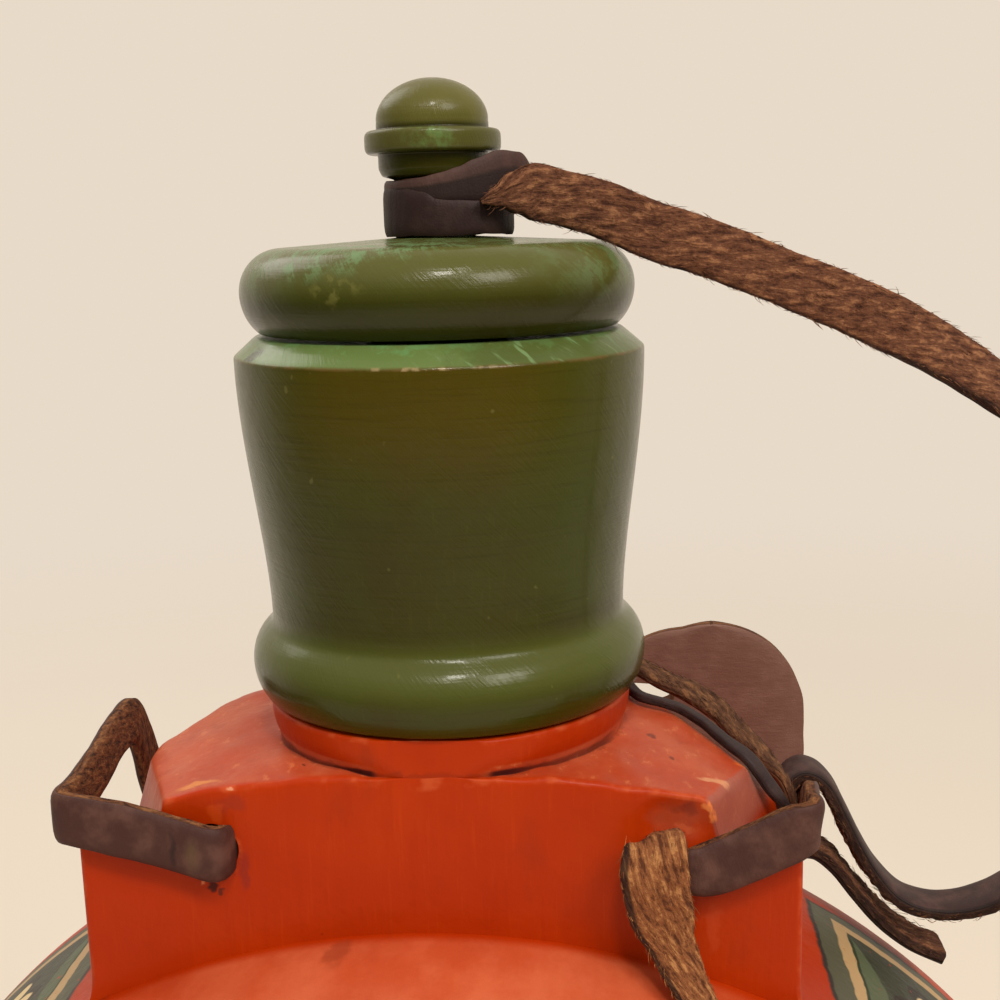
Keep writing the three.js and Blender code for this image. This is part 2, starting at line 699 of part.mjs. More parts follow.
// Neck lace: from the right lace over the cut corner of the shoulder, round the back of the collar and
// down into the left hole.
function neckLace() {
  const points = [
    [shoulderHalf + 1.2, -1.6, 17, 0, 1, 0],
    [shoulderHalf + 1.2, -1.6, 13, 0, 1, 0],
    [shoulderHalf + 1.2, -1, 10.2, 0, 1, -0.2],
    [shoulderHalf + 0.6, 0, 8.5, 0.1, 0.8, -0.5],
    [shoulderHalf - 1.3, 2, 6.3, 0.4, 0.7, 0],
    [shoulderHalf - 4.4, 4.5, 3.7, 0.5, 0.55, 0.25],
    [shoulderHalf - 5.9, 6, 2.4, 0.5, 0.55, 0.25],
    [shoulderHalf - 9, 8, 0.8, 0.5, 0.6, 0.25],
    [shoulderHalf - 12, 9, -0.3, 0.5, 0.7, 0.15],
    [besideCollar(0.14), 9.8, -1.4, 0.6, 0.8, 0],
    [besideCollar(0.02), 11.8, -2.1, 0.76, 0.65, 0],
    [15, 15.8, -1.8, 0.7, 0.7, 0],
    [8.4, 20.6, -1.5, 0.4, 0.9, 0],
    [0, 22.2, -0.9, 0, 1, 0],
    [-8.4, 22, 0.3, -0.2, 0.6, 0.6],
    [-15, 21.5, 2, -0.3, 0, 1],
    [-19.8, 20.8, 4.2, -0.5, 0, 0.8],
    [-laceHoleX, slabBack - 1, 5.7, -1, 0, 0.2],
    [-laceHoleX, slabBack - 6, 5.8, -1, 0, 0],
  ];
  const placed = points.map(([x, y, down]) => [x, y, shoulderZ - down]);
  const widths = points.map((p) => p.slice(3));
  const inHoleFrom = points.length - 2;
  const shares = points.map((p, i) => (i < inHoleFrom ? 1 : 0.5));
  return strip(placed, widths, neckLaceWidth, neckLaceThick, 76, shares);
}

// Under lace: a narrower strand below the neck lace, along the edge of the cut corner.
function underLace() {
  const points = [
    [shoulderHalf + 0.9, -7.6, 15, 0, 1, 0],
    [shoulderHalf + 0.9, -7.6, 11.5, 0, 1, 0],
    [shoulderHalf + 0.2, -7.4, 8.6, 0.3, 0.9, -0.3],
    [shoulderHalf - 1.7, -7.2, 5.6, 0.5, 0.8, 0],
    [...overTop(shoulderHalf - 3.7, -6.8, 0.78), 0.5, 0.8, 0],
    [...overTop(shoulderHalf - 6.1, -4, 0.97), 0.7, 0.7, 0],
    [...overTop(shoulderHalf - 8.2, -0.3, 1.1), 0.76, 0.65, 0],
    [...overTop(besideCollar(0.365), 2.8, 1.04), 0.7, 0.7, 0],
    [...overTop(besideCollar(0.26), 3.4, 1.07), 0.5, 0.9, 0],
    [...overTop(besideCollar(0.12), 4.6, 0.94), 0.8, 0.6, 0],
    [17.8, 11.4, -0.25, 0.8, 0.6, 0],
    [13.4, 16.6, 0.5, 0.6, 0.8, 0],
    [8, 20.6, 1, 0.3, 0.9, 0],
    [1, 21.4, 1.8, 0, 1, 0],
  ];
  const placed = points.map(([x, y, down]) => [x, y, shoulderZ - down]);
  const widths = points.map((p) => p.slice(3));
  return strip(placed, widths, underLaceWidth, underLaceThick, 56);
}

// Carrying strap: hangs flat behind the shoulder at both ends, turns a quarter and meets below.
function strap() {
  const discTop = bodyZ + discRadius;
  const strapOut = discFaceY + discCrown + strapWidth / 2 + 2 * layGap;
  const leg = (drop) => [
    [tabX, strapY, shoulderZ - drop],
    [tabX, strapY + 0.5, discTop - 1],
    [tabX + 0.4, strapY + 4.6, discTop - 10],
    [tabX + 1.2, strapOut - 7.4, discTop - 22],
    [tabX + 2.4, strapOut - 3, discTop - 36],
    [tabX + 3.8, strapOut + 0.4, discTop - 54],
    [tabX + 4.8, strapOut + 1.6, discTop - 74],
    [tabX + 4.8, strapOut + 1.6, discTop - 94],
    [tabX + 3, strapOut + 0.8, discTop - 114],
    [tabX - 3, strapOut, discTop - 132],
    [tabX - 14, strapOut - 0.6, discTop - 145],
  ];
  const right = leg(tabDrop.right);
  const left = leg(tabDrop.left).map(([x, y, z]) => [-x, y, z]);
  const points = [...right, [0, strapOut - 0.8, strapThick], ...left.reverse()];
  const last = points.length - 1;
  const widths = points.map((p, i) => {
    const fromEnd = Math.min(i, last - i);
    const turn = Math.min(1, Math.max(0, (fromEnd - 2) / 5)) * (Math.PI / 2);
    return [Math.sign(last / 2 - i) * Math.cos(turn), Math.sin(turn), 0];
  });
  let form = solid(strip(points, widths, strapWidth, strapThick, 72));
  for (const [side, end] of [
    [1, "right"],
    [-1, "left"],
  ]) {
    const from = strapY - strapThick / 2;
    const to = strapY + strapThick / 2;
    const endZ = shoulderZ - tabDrop[end];
    for (const [shift, lower] of [[0, 0], endShift]) {
      const x = side * (tabX - shift);
      form = form.add(cylinderY(strapWidth / 2, from, to, x, endZ - lower, 40));
    }
    for (const x of [tabX - slitHalf, tabX + slitHalf]) {
      const slot = new THREE.BoxGeometry(slitWide, 3 * strapThick, slitLength);
      slot.translate(side * x, strapY, shoulderZ - slitDrop[end]);
      form = form.subtract(solid(slot));
    }
  }
  const [notchTop, notchFoot] = notchDrop;
  const notch = new THREE.BoxGeometry(strapWidth / 2, 3 * strapThick, notchFoot - notchTop);
  const notchX = tabX - notchReach - strapWidth / 4;
  notch.translate(notchX, strapY, shoulderZ - (notchTop + notchFoot) / 2);
  return form.subtract(solid(notch));
}

const group = new THREE.Group();
group.name = "wooden_canteen";
group.add(piece("body", body(), wood.red));
group.add(piece("back_disc", backDisc(), wood.red));
group.add(piece("neck", neck(), wood.green));
group.add(piece("stopper", stopper(), wood.green));
group.add(piece("lanyard_noose", noose(), leather.smooth));
group.add(piece("stopper_lanyard", lanyard(), leather.suede));
group.add(piece("right_lace", rightLace(), leather.smooth));
group.add(piece("left_lace", leftLace(), leather.smooth));
group.add(piece("lace_tail", laceTail(), leather.suede));
group.add(piece("neck_lace", neckLace(), leather.suede));
group.add(piece("under_lace", underLace(), leather.smooth));
group.add(piece("carrying_strap", strap(), leather.strap));

export default group;
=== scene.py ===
import bmesh
import bpy
import numpy as np
from mathutils import Matrix, Vector


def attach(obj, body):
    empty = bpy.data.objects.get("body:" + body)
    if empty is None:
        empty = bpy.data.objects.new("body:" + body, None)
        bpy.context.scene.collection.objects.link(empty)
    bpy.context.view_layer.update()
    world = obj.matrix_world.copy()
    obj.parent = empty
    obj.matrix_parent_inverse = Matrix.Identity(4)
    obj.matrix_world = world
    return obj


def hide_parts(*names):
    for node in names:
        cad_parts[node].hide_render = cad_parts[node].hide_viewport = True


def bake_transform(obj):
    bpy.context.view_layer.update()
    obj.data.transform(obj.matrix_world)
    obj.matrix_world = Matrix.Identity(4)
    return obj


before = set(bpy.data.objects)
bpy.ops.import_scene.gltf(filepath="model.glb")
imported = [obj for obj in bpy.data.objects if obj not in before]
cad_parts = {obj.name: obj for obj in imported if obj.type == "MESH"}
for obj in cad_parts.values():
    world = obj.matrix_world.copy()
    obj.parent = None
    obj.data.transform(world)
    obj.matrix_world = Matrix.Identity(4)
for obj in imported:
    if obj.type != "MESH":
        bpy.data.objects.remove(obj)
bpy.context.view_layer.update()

# Body: one block of beech with shoulder, collar and foot, its front turned on the lathe, hollowed from
# behind, painted red under clear varnish. Two bored holes in the shoulder take the laces.
body_radius = 80.0
body_middle = 86.0  # height of the turned part's axis
slab_front = 19.3
slab_back = 19.3
back_round = 9.0
front_edge = 0.6
roll_width = 14.0
roll_depth = 17.0
face_crown = 3.0
ring_radii = np.array([17.0, 41.0, 62.0])
ring_width = 3.0
ring_depth = 1.3
shoulder_rise = 96.0
shoulder_top = body_middle + shoulder_rise
shoulder_half = 35.2
shoulder_flat = 8.0
shoulder_bend = 75.0
ledge_drop = 7.0  # above a slanting ledge the ends of the shoulder are cut back
ledge_fall = 0.45
cut_lean = 0.31
foot_half = 42.0
collar_half = 18.5
collar_stretch = 1.045
hole_x = 21.8
hole_drop = {"right": 8.2, "left": 7.35}
hole_radius = 2.7
disc_radius = 66.0
disc_seat = 6.0
hollow_radius = 60.0
hollow_round = 14.0
front_wall = 9.0
collar_foot = 175.0
collar_top = 185.8
bore = 7.6
socket_radius = 11.3
socket_floor = 165.5
bore_foot = 120.0
hole_half_length = 26.0
rub_x = 23.6  # middle of the hollow that the lace has worn above the right hole
rub_drop = 4.2
rub_deep = 0.7
lean_ease = 7.0  # the way inwards from the outline is evened out over this length
corner_reach = 14.0  # about so near to the foot's corners the back edge is rounded less
corner_share = 0.7
dense_drop = 27.0  # the mesh is finer down to here below the shoulder's top, and this far beside it
dense_past = 4.8
heart_drop = 30.0  # the shoulder's cuts draw points towards a level line this far below its top
cut_drop = 26.0


def run_of(path):
    """The length of a polyline from its start to each of its points."""
    return np.concatenate([[0], np.cumsum(np.linalg.norm(np.diff(path, axis=0), axis=1))])


def unit(ways):
    """Ways with a length of 1."""
    return ways / np.linalg.norm(ways, axis=1)[:, None]


def spaced(path, spacing):
    """A polyline again, with points at even steps of its length."""
    length = run_of(path)
    at = np.linspace(0, length[-1], max(2, int(round(length[-1] / spacing)) + 1))
    return np.stack([np.interp(at, length, column) for column in path.T], 1)


def worn(path, spacing, wear, closed=False):
    """A polyline averaged by a bell curve of width wear, so that corners round off; open ends stay."""
    path = spaced(np.vstack([path, path[:1]]) if closed else path, spacing)
    path = path[:-1] if closed else path
    reach = int(3 * wear / spacing) + 1
    bell = np.exp(-0.5 * (np.arange(-reach, reach + 1) * spacing / wear) ** 2)
    if closed:
        longer = np.vstack([path[-reach:], path, path[:reach]])
    else:
        before = 2 * path[0] - path[reach:0:-1]
        after = 2 * path[-1] - path[-2 : -reach - 2 : -1]
        longer = np.vstack([before, path, after])
    return np.stack([np.convolve(column, bell / bell.sum(), "valid") for column in longer.T], 1)


def picked(path, count, turn, dense=1.0):
    """count points of a fine polyline that share out its length, times dense, plus turn for each radian."""
    step = np.diff(path, axis=0)
    length = np.linalg.norm(step, axis=1)
    way = step / length[:, None]
    angle = np.arccos(np.clip((way[1:] * way[:-1]).sum(1), -1, 1))
    share = length * dense
    share[1:] += turn * angle / 2
    share[:-1] += turn * angle / 2
    total = np.concatenate([[0], np.cumsum(share)])
    at = np.linspace(0, total[-1], count)
    return np.stack([np.interp(at, total, column) for column in path.T], 1)


def made_piece(name, points, faces, merge=False, lay=None):
    """A piece over points in millimetres with its faces turned outwards. With merge, equal points become
    one; lay, where given, is stored on the points under that name."""
    mesh = bpy.data.meshes.new(name)
    mesh.from_pydata(points * 0.001, [], faces)
    if lay is not None:
        stored = mesh.attributes.new("lay", "FLOAT_VECTOR", "POINT")
        stored.data.foreach_set("vector", lay.astype(np.float32).ravel())
    work = bmesh.new()
    work.from_mesh(mesh)
    if merge:
        bmesh.ops.remove_doubles(work, verts=work.verts, dist=2e-6)
    bmesh.ops.recalc_face_normals(work, faces=work.faces)
    work.to_mesh(mesh)
    work.free()
    made = bpy.data.objects.new(name, mesh)
    bpy.context.scene.collection.objects.link(made)
    return made


def skin(name, grid):
    """A piece over a grid of points, whose columns close into a ring."""
    rows, columns = grid.shape[:2]
    here = np.arange(rows * columns).reshape(rows, columns)
    beside = np.roll(here, -1, 1)
    faces = np.stack([here[:-1], beside[:-1], beside[1:], here[1:]], 2).reshape(-1, 4)
    return made_piece(name, grid.reshape(-1, 3), faces, merge=True)


def turned(profile, columns, middle=(0, 0, 0), along_y=False):
    """Carries a profile of (radius, height) round the Z axis, or round a Y axis through middle."""
    angle = np.linspace(0, 2 * np.pi, columns, endpoint=False)
    radius, height = profile[:, :1], profile[:, 1:]
    across = [radius * np.cos(angle), radius * np.sin(angle)]
    level = np.broadcast_to(height, across[0].shape)
    order = [across[0], level, across[1]] if along_y else [across[0], across[1], level]
    return np.stack(order, 2) + np.array(middle)


def carved(target, tool, operation):
    """The target with the tool's solid joined to it or cut out of it."""
    change = target.modifiers.new("carve", "BOOLEAN")
    change.operation = operation
    change.solver = "EXACT"
    change.object = tool
    bpy.context.view_layer.update()
    shown = target.evaluated_get(bpy.context.evaluated_depsgraph_get())
    target.data = bpy.data.meshes.new_from_object(shown)
    target.modifiers.clear()
    bpy.data.objects.remove(tool)


def shaded(mesh, sharp_degrees):
    """Shades a mesh smooth, apart from edges sharper than that."""
    mesh.polygons.foreach_set("use_smooth", np.ones(len(mesh.polygons), bool))
    mesh.set_sharp_from_angle(angle=np.radians(sharp_degrees))


def smoothed(piece, sharp_degrees):
    """Shades a piece and stores on each point how much the surface bends: the change of normal along its
    edges, in 1/mm, plus on edges and minus in creases."""
    mesh = piece.data
    shaded(mesh, sharp_degrees)
    count = len(mesh.vertices)
    place, normal = np.empty(count * 3), np.empty(count * 3)
    mesh.vertices.foreach_get("co", place)
    mesh.vertex_normals.foreach_get("vector", normal)
    place, normal = place.reshape(-1, 3), normal.reshape(-1, 3)
    ends = np.empty(len(mesh.edges) * 2, int)
    mesh.edges.foreach_get("vertices", ends)
    a, b = ends.reshape(-1, 2).T
    gap = place[b] - place[a]
    bend = ((normal[b] - normal[a]) * gap).sum(1) / np.maximum((gap**2).sum(1), 1e-10) * 0.001
    degree = np.bincount(a, minlength=count) + np.bincount(b, minlength=count)
    value = (np.bincount(a, bend, count) + np.bincount(b, bend, count)) / np.maximum(degree, 1)
    for _ in range(2):
        around = np.bincount(a, value[b], count) + np.bincount(b, value[a], count)
        value = (value + around / np.maximum(degree, 1)) / 2
    mesh.attributes.new("bend", "FLOAT", "POINT").data.foreach_set("value", value.astype(np.float32))


def shoulder_fall(x):
    """How far the shoulder's top is below its middle at that x."""
    return np.clip(np.abs(x) - shoulder_flat, 0, None) ** 2 / (2 * shoulder_bend)


def body_outline():
    """Front view of the block about its axis, anticlockwise: foot, round rim, shoulder side, falling top."""
    arc = np.linspace(-np.arccos(foot_half / body_radius), np.arccos(shoulder_half / body_radius), 400)
    x = np.linspace(shoulder_half, 0, 120)
    right = np.vstack(
        [
            [[0, -body_middle], [foot_half, -body_middle]],
            np.stack([np.cos(arc), np.sin(arc)], 1) * body_radius,
            np.stack([x, shoulder_rise - shoulder_fall(x)], 1),
        ]
    )
    left = right[::-1] * [-1, 1]
    return np.vstack([right[:-1], left[:-1]])


def front_profile():
    """Radius and depth of the turned front: a low cone with three rings, then a quarter ellipse down."""
    inner = body_radius - roll_width
    r = np.linspace(0, inner, 600)
    dip = np.clip(1 - (2 * (r[:, None] - ring_radii) / ring_width) ** 2, 0, None).sum(1)
    face = np.stack([r, -slab_front - roll_depth - face_crown * (1 - r / inner) + ring_depth * dip], 1)
    angle = np.linspace(0, np.pi / 2, 120)[1:]
    roll = [inner + roll_width * np.sin(angle), -slab_front - roll_depth * np.cos(angle)]
    return np.vstack([face, np.stack(roll, 1)])


def body_grid(columns):
    """Each column follows one ray of the front view: over the turned face and roll, over the flat front of
    shoulder or foot, round its edge, across the rim, round the back edge, which is tighter at the foot's
    corners, and through the hollow."""
    fine = worn(body_outline(), 0.2, 1.0, closed=True)
    loop = np.vstack([fine, fine[:1]])
    high = loop[1:, 1] > shoulder_rise - dense_drop
    narrow = np.abs(loop[1:, 0]) < shoulder_half + dense_past
    edge = picked(loop, columns + 1, 3.0, np.where(high & narrow, 6.0, 1.0))[:-1]
    tangent = unit(np.roll(edge, -1, 0) - np.roll(edge, 1, 0))
    out = np.stack([tangent[:, 1], -tangent[:, 0]], 1)
    spread = np.linalg.norm(edge[:, None] - edge[None], axis=2)
    step = np.linalg.norm(np.roll(edge, -1, 0) - edge, axis=1)
    lean = unit((np.exp(-0.5 * (spread / lean_ease) ** 2) * step) @ out)
    lean /= np.where(edge[:, 1] > 0, np.maximum((lean * out).sum(1), 0.5), 1)[:, None]
    reach = np.linalg.norm(edge, axis=1)[:, None]
    ray = edge / reach
    past = np.clip((reach - body_radius - 0.2) / 2.5, 0, 1)
    rounding = front_edge * past * past * (3 - 2 * past)
    rounding *= np.where(edge[:, 1:] > 0, 1 - 0.92 * np.exp(-((edge[:, :1] / 6.5) ** 4)), 1)
    rim = np.maximum(reach, body_radius) * ray
    from_corner = np.hypot(np.abs(edge[:, :1]) - foot_half, edge[:, 1:] + body_middle)
    back_edge = back_round * (1 - corner_share * np.exp(-((from_corner / corner_reach) ** 2)))
    rows = []

    def add(flat, depth):
        rows.append(np.hstack([flat[:, :1], np.broadcast_to(depth, reach.shape), flat[:, 1:]]))

    for r, y in picked(worn(front_profile(), 0.1, 0.25), 62, 3.0):
        add(ray * r, y)
    for share in np.linspace(0, 1, 21)[1:]:
        add(ray * body_radius * (1 - share) + (rim - lean * rounding) * share, -slab_front)
    for angle in np.linspace(0, np.pi / 2, 5)[1:]:
        add(rim - lean * rounding * (1 - np.sin(angle)), -slab_front + rounding * (1 - np.cos(angle)))
    for share in np.linspace(0, 1, 57)[1:]:
        add(rim, (rounding - slab_front) * (1 - share) + (slab_back - back_edge) * share)
    for angle in np.linspace(0, np.pi / 2, 9)[1:]:
        add(rim - lean * back_edge * (1 - np.cos(angle)), slab_back - back_edge * (1 - np.sin(angle)))
    back = rim - lean * back_edge
    for share in np.linspace(0, 1, 9)[1:]:
        add(back * (1 - share) + ray * disc_radius * share, slab_back)
    floor = front_wall - slab_front - roll_depth
    add(ray * disc_radius, slab_back - disc_seat)
    add(ray * hollow_radius, slab_back - disc_seat)
    for angle in np.linspace(0, np.pi / 2, 7):
        r = hollow_radius - hollow_round * (1 - np.cos(angle))
        add(ray * r, floor + hollow_round * (1 - np.sin(angle)))
    add(ray * 0, floor)
    grid = np.stack(rows)
    grid[..., 2] += body_middle
    return grid


def end_plane(*points):
    """A point of the plane through three points of the shoulder's right end, and its outward normal."""
    a, b, c = (np.array(point) for point in points)
    normal = np.cross(b - a, c - a)
    return a, normal * np.sign(normal[0]) / np.linalg.norm(normal)


def on_top(x, y):
    """A point of the shoulder's top."""
    return np.array([x, y, shoulder_top - shoulder_fall(x)])


cut_down = np.array([cut_lean, 0, -1])
facet_front = on_top(26.2, -slab_front)
facet_back = on_top(31.3, 12.3 - slab_front)
end_side = on_top(32.8, 0)
facet_plane = end_plane(facet_front, facet_back, facet_front + cut_down)
side_plane = end_plane(end_side, end_side + [0, 9, 0], end_side + cut_down)
corner_plane = end_plane(on_top(27.5, 10.5), on_top(32.9, 0), [34.0, 8, shoulder_top - 9])
wear_plane = end_plane(on_top(23.1, 5), facet_back, [32.5, 2, shoulder_top - 9])


def softer(a, b, k):
    """The smaller of two lengths, eased over k where they are alike; the larger one with k below 0."""
    way = np.sign(k)
    low = np.minimum(a * way, b * way)
    return way * (low - np.clip(abs(k) - np.abs(a - b), 0, None) ** 2 / (4 * abs(k)))


def shoulder_cuts(grid):
    """Draws each point of the shoulder towards a level line in its middle until it is inside the cut ends,
    then wears a hollow above the right hole and leaves the top a little uneven, as a knife does."""
    x, y, z = np.moveaxis(grid, 2, 0)
    heart = shoulder_top - heart_drop
    reach = np.maximum(np.hypot(x, z - heart), 1e-6)

    def leaves(point, normal, wide):
        rise = normal[0] * wide + normal[2] * (z - heart)
        room = normal[0] * point[0] + normal[1] * (point[1] - y) + normal[2] * (point[2] - heart)
        return np.where(rise > 1e-6, np.minimum(reach * room / np.maximum(rise, 1e-6), 900), 900)

    ledge = leaves(np.array([0, -slab_front, shoulder_top - ledge_drop]), np.array([0, ledge_fall, 1]), x)
    keep = reach
    for plane in (facet_plane, side_plane, corner_plane):
        keep = softer(keep, softer(leaves(*plane, np.abs(x)), ledge, -0.5), 0.5)
    keep = softer(keep, softer(leaves(*wear_plane, x), ledge, -0.5), 0.5)
    upper = (z > shoulder_top - cut_drop) & (np.abs(x) < shoulder_half + dense_past)
    upper &= y > -slab_front - 0.01
    share = np.where(upper, keep / reach, 1)
    x, z = x * share, heart + (z - heart) * share
    ripple = np.sin(0.55 * x + 1.1) * np.sin(0.6 * y + 0.4) + 0.5 * np.sin(1.3 * x + 0.7 * y)
    z += np.where(upper & (y < slab_back - 1), 0.1 * ripple, 0) * np.clip((z - shoulder_top + 10) / 5, 0, 1)
    rub = np.exp(-(((x - rub_x) / 3.1) ** 4) - ((z - shoulder_top + rub_drop) / 2.1) ** 4)
    y = y + np.where(upper & (y < -slab_front + 2), rub_deep * rub, 0)
    return np.stack([x, y, z], 2)


def lace_hole(x, drop):
    """A bored hole along Y whose mouths are worn wide by the lace."""
    y = np.linspace(-hole_half_length, hole_half_length, 53)
    wide = np.exp(-np.clip(slab_front - np.abs(y), 0, None) / 0.9)
    profile = np.stack([hole_radius - 0.2 + 0.2 * wide, y], 1)
    profile = np.vstack([[[0, y[0]]], profile, [[0, y[-1]]]])
    return skin("lace_hole", turned(profile, 48, (x, 0, shoulder_top - drop), along_y=True))


collar = np.array(
    [
        [0, collar_foot],
        [collar_half, collar_foot],
        [collar_half, shoulder_top],
        [collar_half + 0.4, shoulder_top + 0.9],
        [collar_half + 0.65, shoulder_top + 2],
        [collar_half + 0.7, collar_top],
        [0, collar_top],
    ]
)
collar_grid = turned(picked(worn(collar, 0.1, 0.3), 60, 4.0), 220) * [1, collar_stretch, 1]
collar_grid[..., 1] = np.maximum(collar_grid[..., 1], 0.04 - slab_front)
socket_wall = [[socket_radius, socket_floor], [socket_radius, collar_top + 4.2], [0, collar_top + 4.2]]
socket = np.array([[0, bore_foot], [bore, bore_foot], [bore, socket_floor], *socket_wall])

canteen_body = skin("canteen_body", shoulder_cuts(body_grid(520)))
carved(canteen_body, skin("collar", collar_grid), "UNION")
carved(canteen_body, skin("socket", turned(socket, 64)), "DIFFERENCE")
carved(canteen_body, lace_hole(hole_x, hole_drop["right"]), "DIFFERENCE")
carved(canteen_body, lace_hole(-hole_x, hole_drop["left"]), "DIFFERENCE")
smoothed(canteen_body, 38)


def joining(operation):
    """An operator that joins two wires, or a wire and a number, by a Math node."""
    return lambda first, second: first.math(operation, first, second)


class Wire:
    """An output of a material's nodes. Sums, products and powers of wires and numbers add Math nodes."""

    __add__ = __radd__ = joining("ADD")
    __mul__ = __rmul__ = joining("MULTIPLY")
    __sub__ = joining("SUBTRACT")
    __truediv__ = joining("DIVIDE")
    __pow__ = joining("POWER")
    most = joining("MAXIMUM")

    def __init__(self, tree, socket=None):
        self.tree, self.socket = tree, socket

    def node(self, kind, settings, inputs, out=0):
        """Adds a node of that kind, makes its settings, then sets or links its inputs."""
        made = self.tree.nodes.new(kind)
        for name, value in settings.items():
            setattr(made, name, value)
        for name, value in inputs.items():
            if isinstance(value, Wire):
                self.tree.links.new(value.socket, made.inputs[name])
            else:
                made.inputs[name].default_value = value
        return Wire(self.tree, made.outputs[out] if len(made.outputs) else None)

    def math(self, operation, *values):
        return self.node("ShaderNodeMath", {"operation": operation}, dict(enumerate(values)))

    def vector(self, operation, *values, out=0):
        """A Vector Math node on this place and other values."""
        inputs = dict(enumerate((self, *values)))
        return self.node("ShaderNodeVectorMath", {"operation": operation}, inputs, out)

    def __rsub__(self, other):
        return self.math("SUBTRACT", other, self)

    def __abs__(self):
        return self.math("ABSOLUTE", self)

    def step(self, low, high):
        """0 below low and 1 above high, smooth between; with low above high it falls instead."""
        settings = {"interpolation_type": "SMOOTHSTEP"}
        return self.node("ShaderNodeMapRange", settings, {0: self, 1: low, 2: high})

    def between(self, low, low_full, high_full, high):
        """1 from low_full to high_full, easing to 0 at low and at high."""
        return self.step(low, low_full) * self.step(high, high_full)

    def stretch(self, x, y, z):
        """A place with its three coordinates times these."""
        return self.vector("MULTIPLY", (x, y, z))

    def noise(self, scale, detail=3.0, roughness=0.5, distortion=0.0):
        """Cloudy values about 0.5 at a place."""
        inputs = {"Vector": self, "Scale": scale, "Detail": detail}
        inputs.update({"Roughness": roughness, "Distortion": distortion})
        return self.node("ShaderNodeTexNoise", {}, inputs)

    def parts(self):
        """The three coordinates of a place."""
        return [self.node("ShaderNodeSeparateXYZ", {}, {0: self}, out) for out in range(3)]

    def strayed(self, scale, by):
        """A place moved about by cloudy amounts of up to half of by."""
        drift = self.node("ShaderNodeTexNoise", {}, {"Vector": self, "Scale": scale, "Detail": 3.0}, "Color")
        return drift.vector("SUBTRACT", (0.5, 0.5, 0.5)).vector("MULTIPLY_ADD", (by, by, by), self)

    def near(self, middle, reach):
        """1 at a middle, falling to 0 at an oblong reach about it."""
        gap = self.vector("SUBTRACT", middle).vector("DIVIDE", reach)
        return gap.vector("LENGTH", out="Value").step(1.0, 0.45)

    def mix(self, first, second):
        """The first colour where this is 0 and the second where it is 1."""
        settings = {"data_type": "RGBA"}
        return self.node("ShaderNodeMix", settings, {0: self, 6: first, 7: second}, 2)

    def over(self, colour, red, green, blue):
        """A colour with another one, given as it looks on a screen, laid over it where this is 1."""
        return self.mix(colour, tone(red, green, blue))

    def stored(self, name, out):
        """A value stored on the points of the piece under that name."""
        return self.node("ShaderNodeAttribute", {"attribute_name": name}, {}, out)

    def bump(self, distance, strength):
        """A normal for a height of this times distance, in metres."""
        return self.node("ShaderNodeBump", {}, {"Height": self, "Distance": distance, "Strength": strength})


def tone(red, green, blue):
    """A colour written as it looks on a screen, 0 to 255, in linear light."""
    value = np.array([red, green, blue]) / 255
    linear = np.where(value <= 0.04045, value / 12.92, ((value + 0.055) / 1.055) ** 2.4)
    return (*linear.tolist(), 1.0)


def finish_of(name):
    """A new material, the start of its nodes, and the place on the object in millimetres."""
    made = bpy.data.materials.new(name)
    made.use_nodes = True
    made.node_tree.nodes.clear()
    start = Wire(made.node_tree)
    return made, start, start.node("ShaderNodeTexCoord", {}, {}, "Object").stretch(1000, 1000, 1000)


def surface(start, **inputs):
    """Ends a material in one Principled shader with these inputs, spelt with _ for a space."""
    named = {name.replace("_", " "): value for name, value in inputs.items()}
    shader = start.node("ShaderNodeBsdfPrincipled", {}, named)
    start.node("ShaderNodeOutputMaterial", {}, {"Surface": shader})


def plane_gap(place, point, normal):
    """How far a place is outside a plane."""
    gap = place.vector("SUBTRACT", tuple(point.tolist()))
    return gap.vector("DOT_PRODUCT", tuple(normal.tolist()), out="Value")


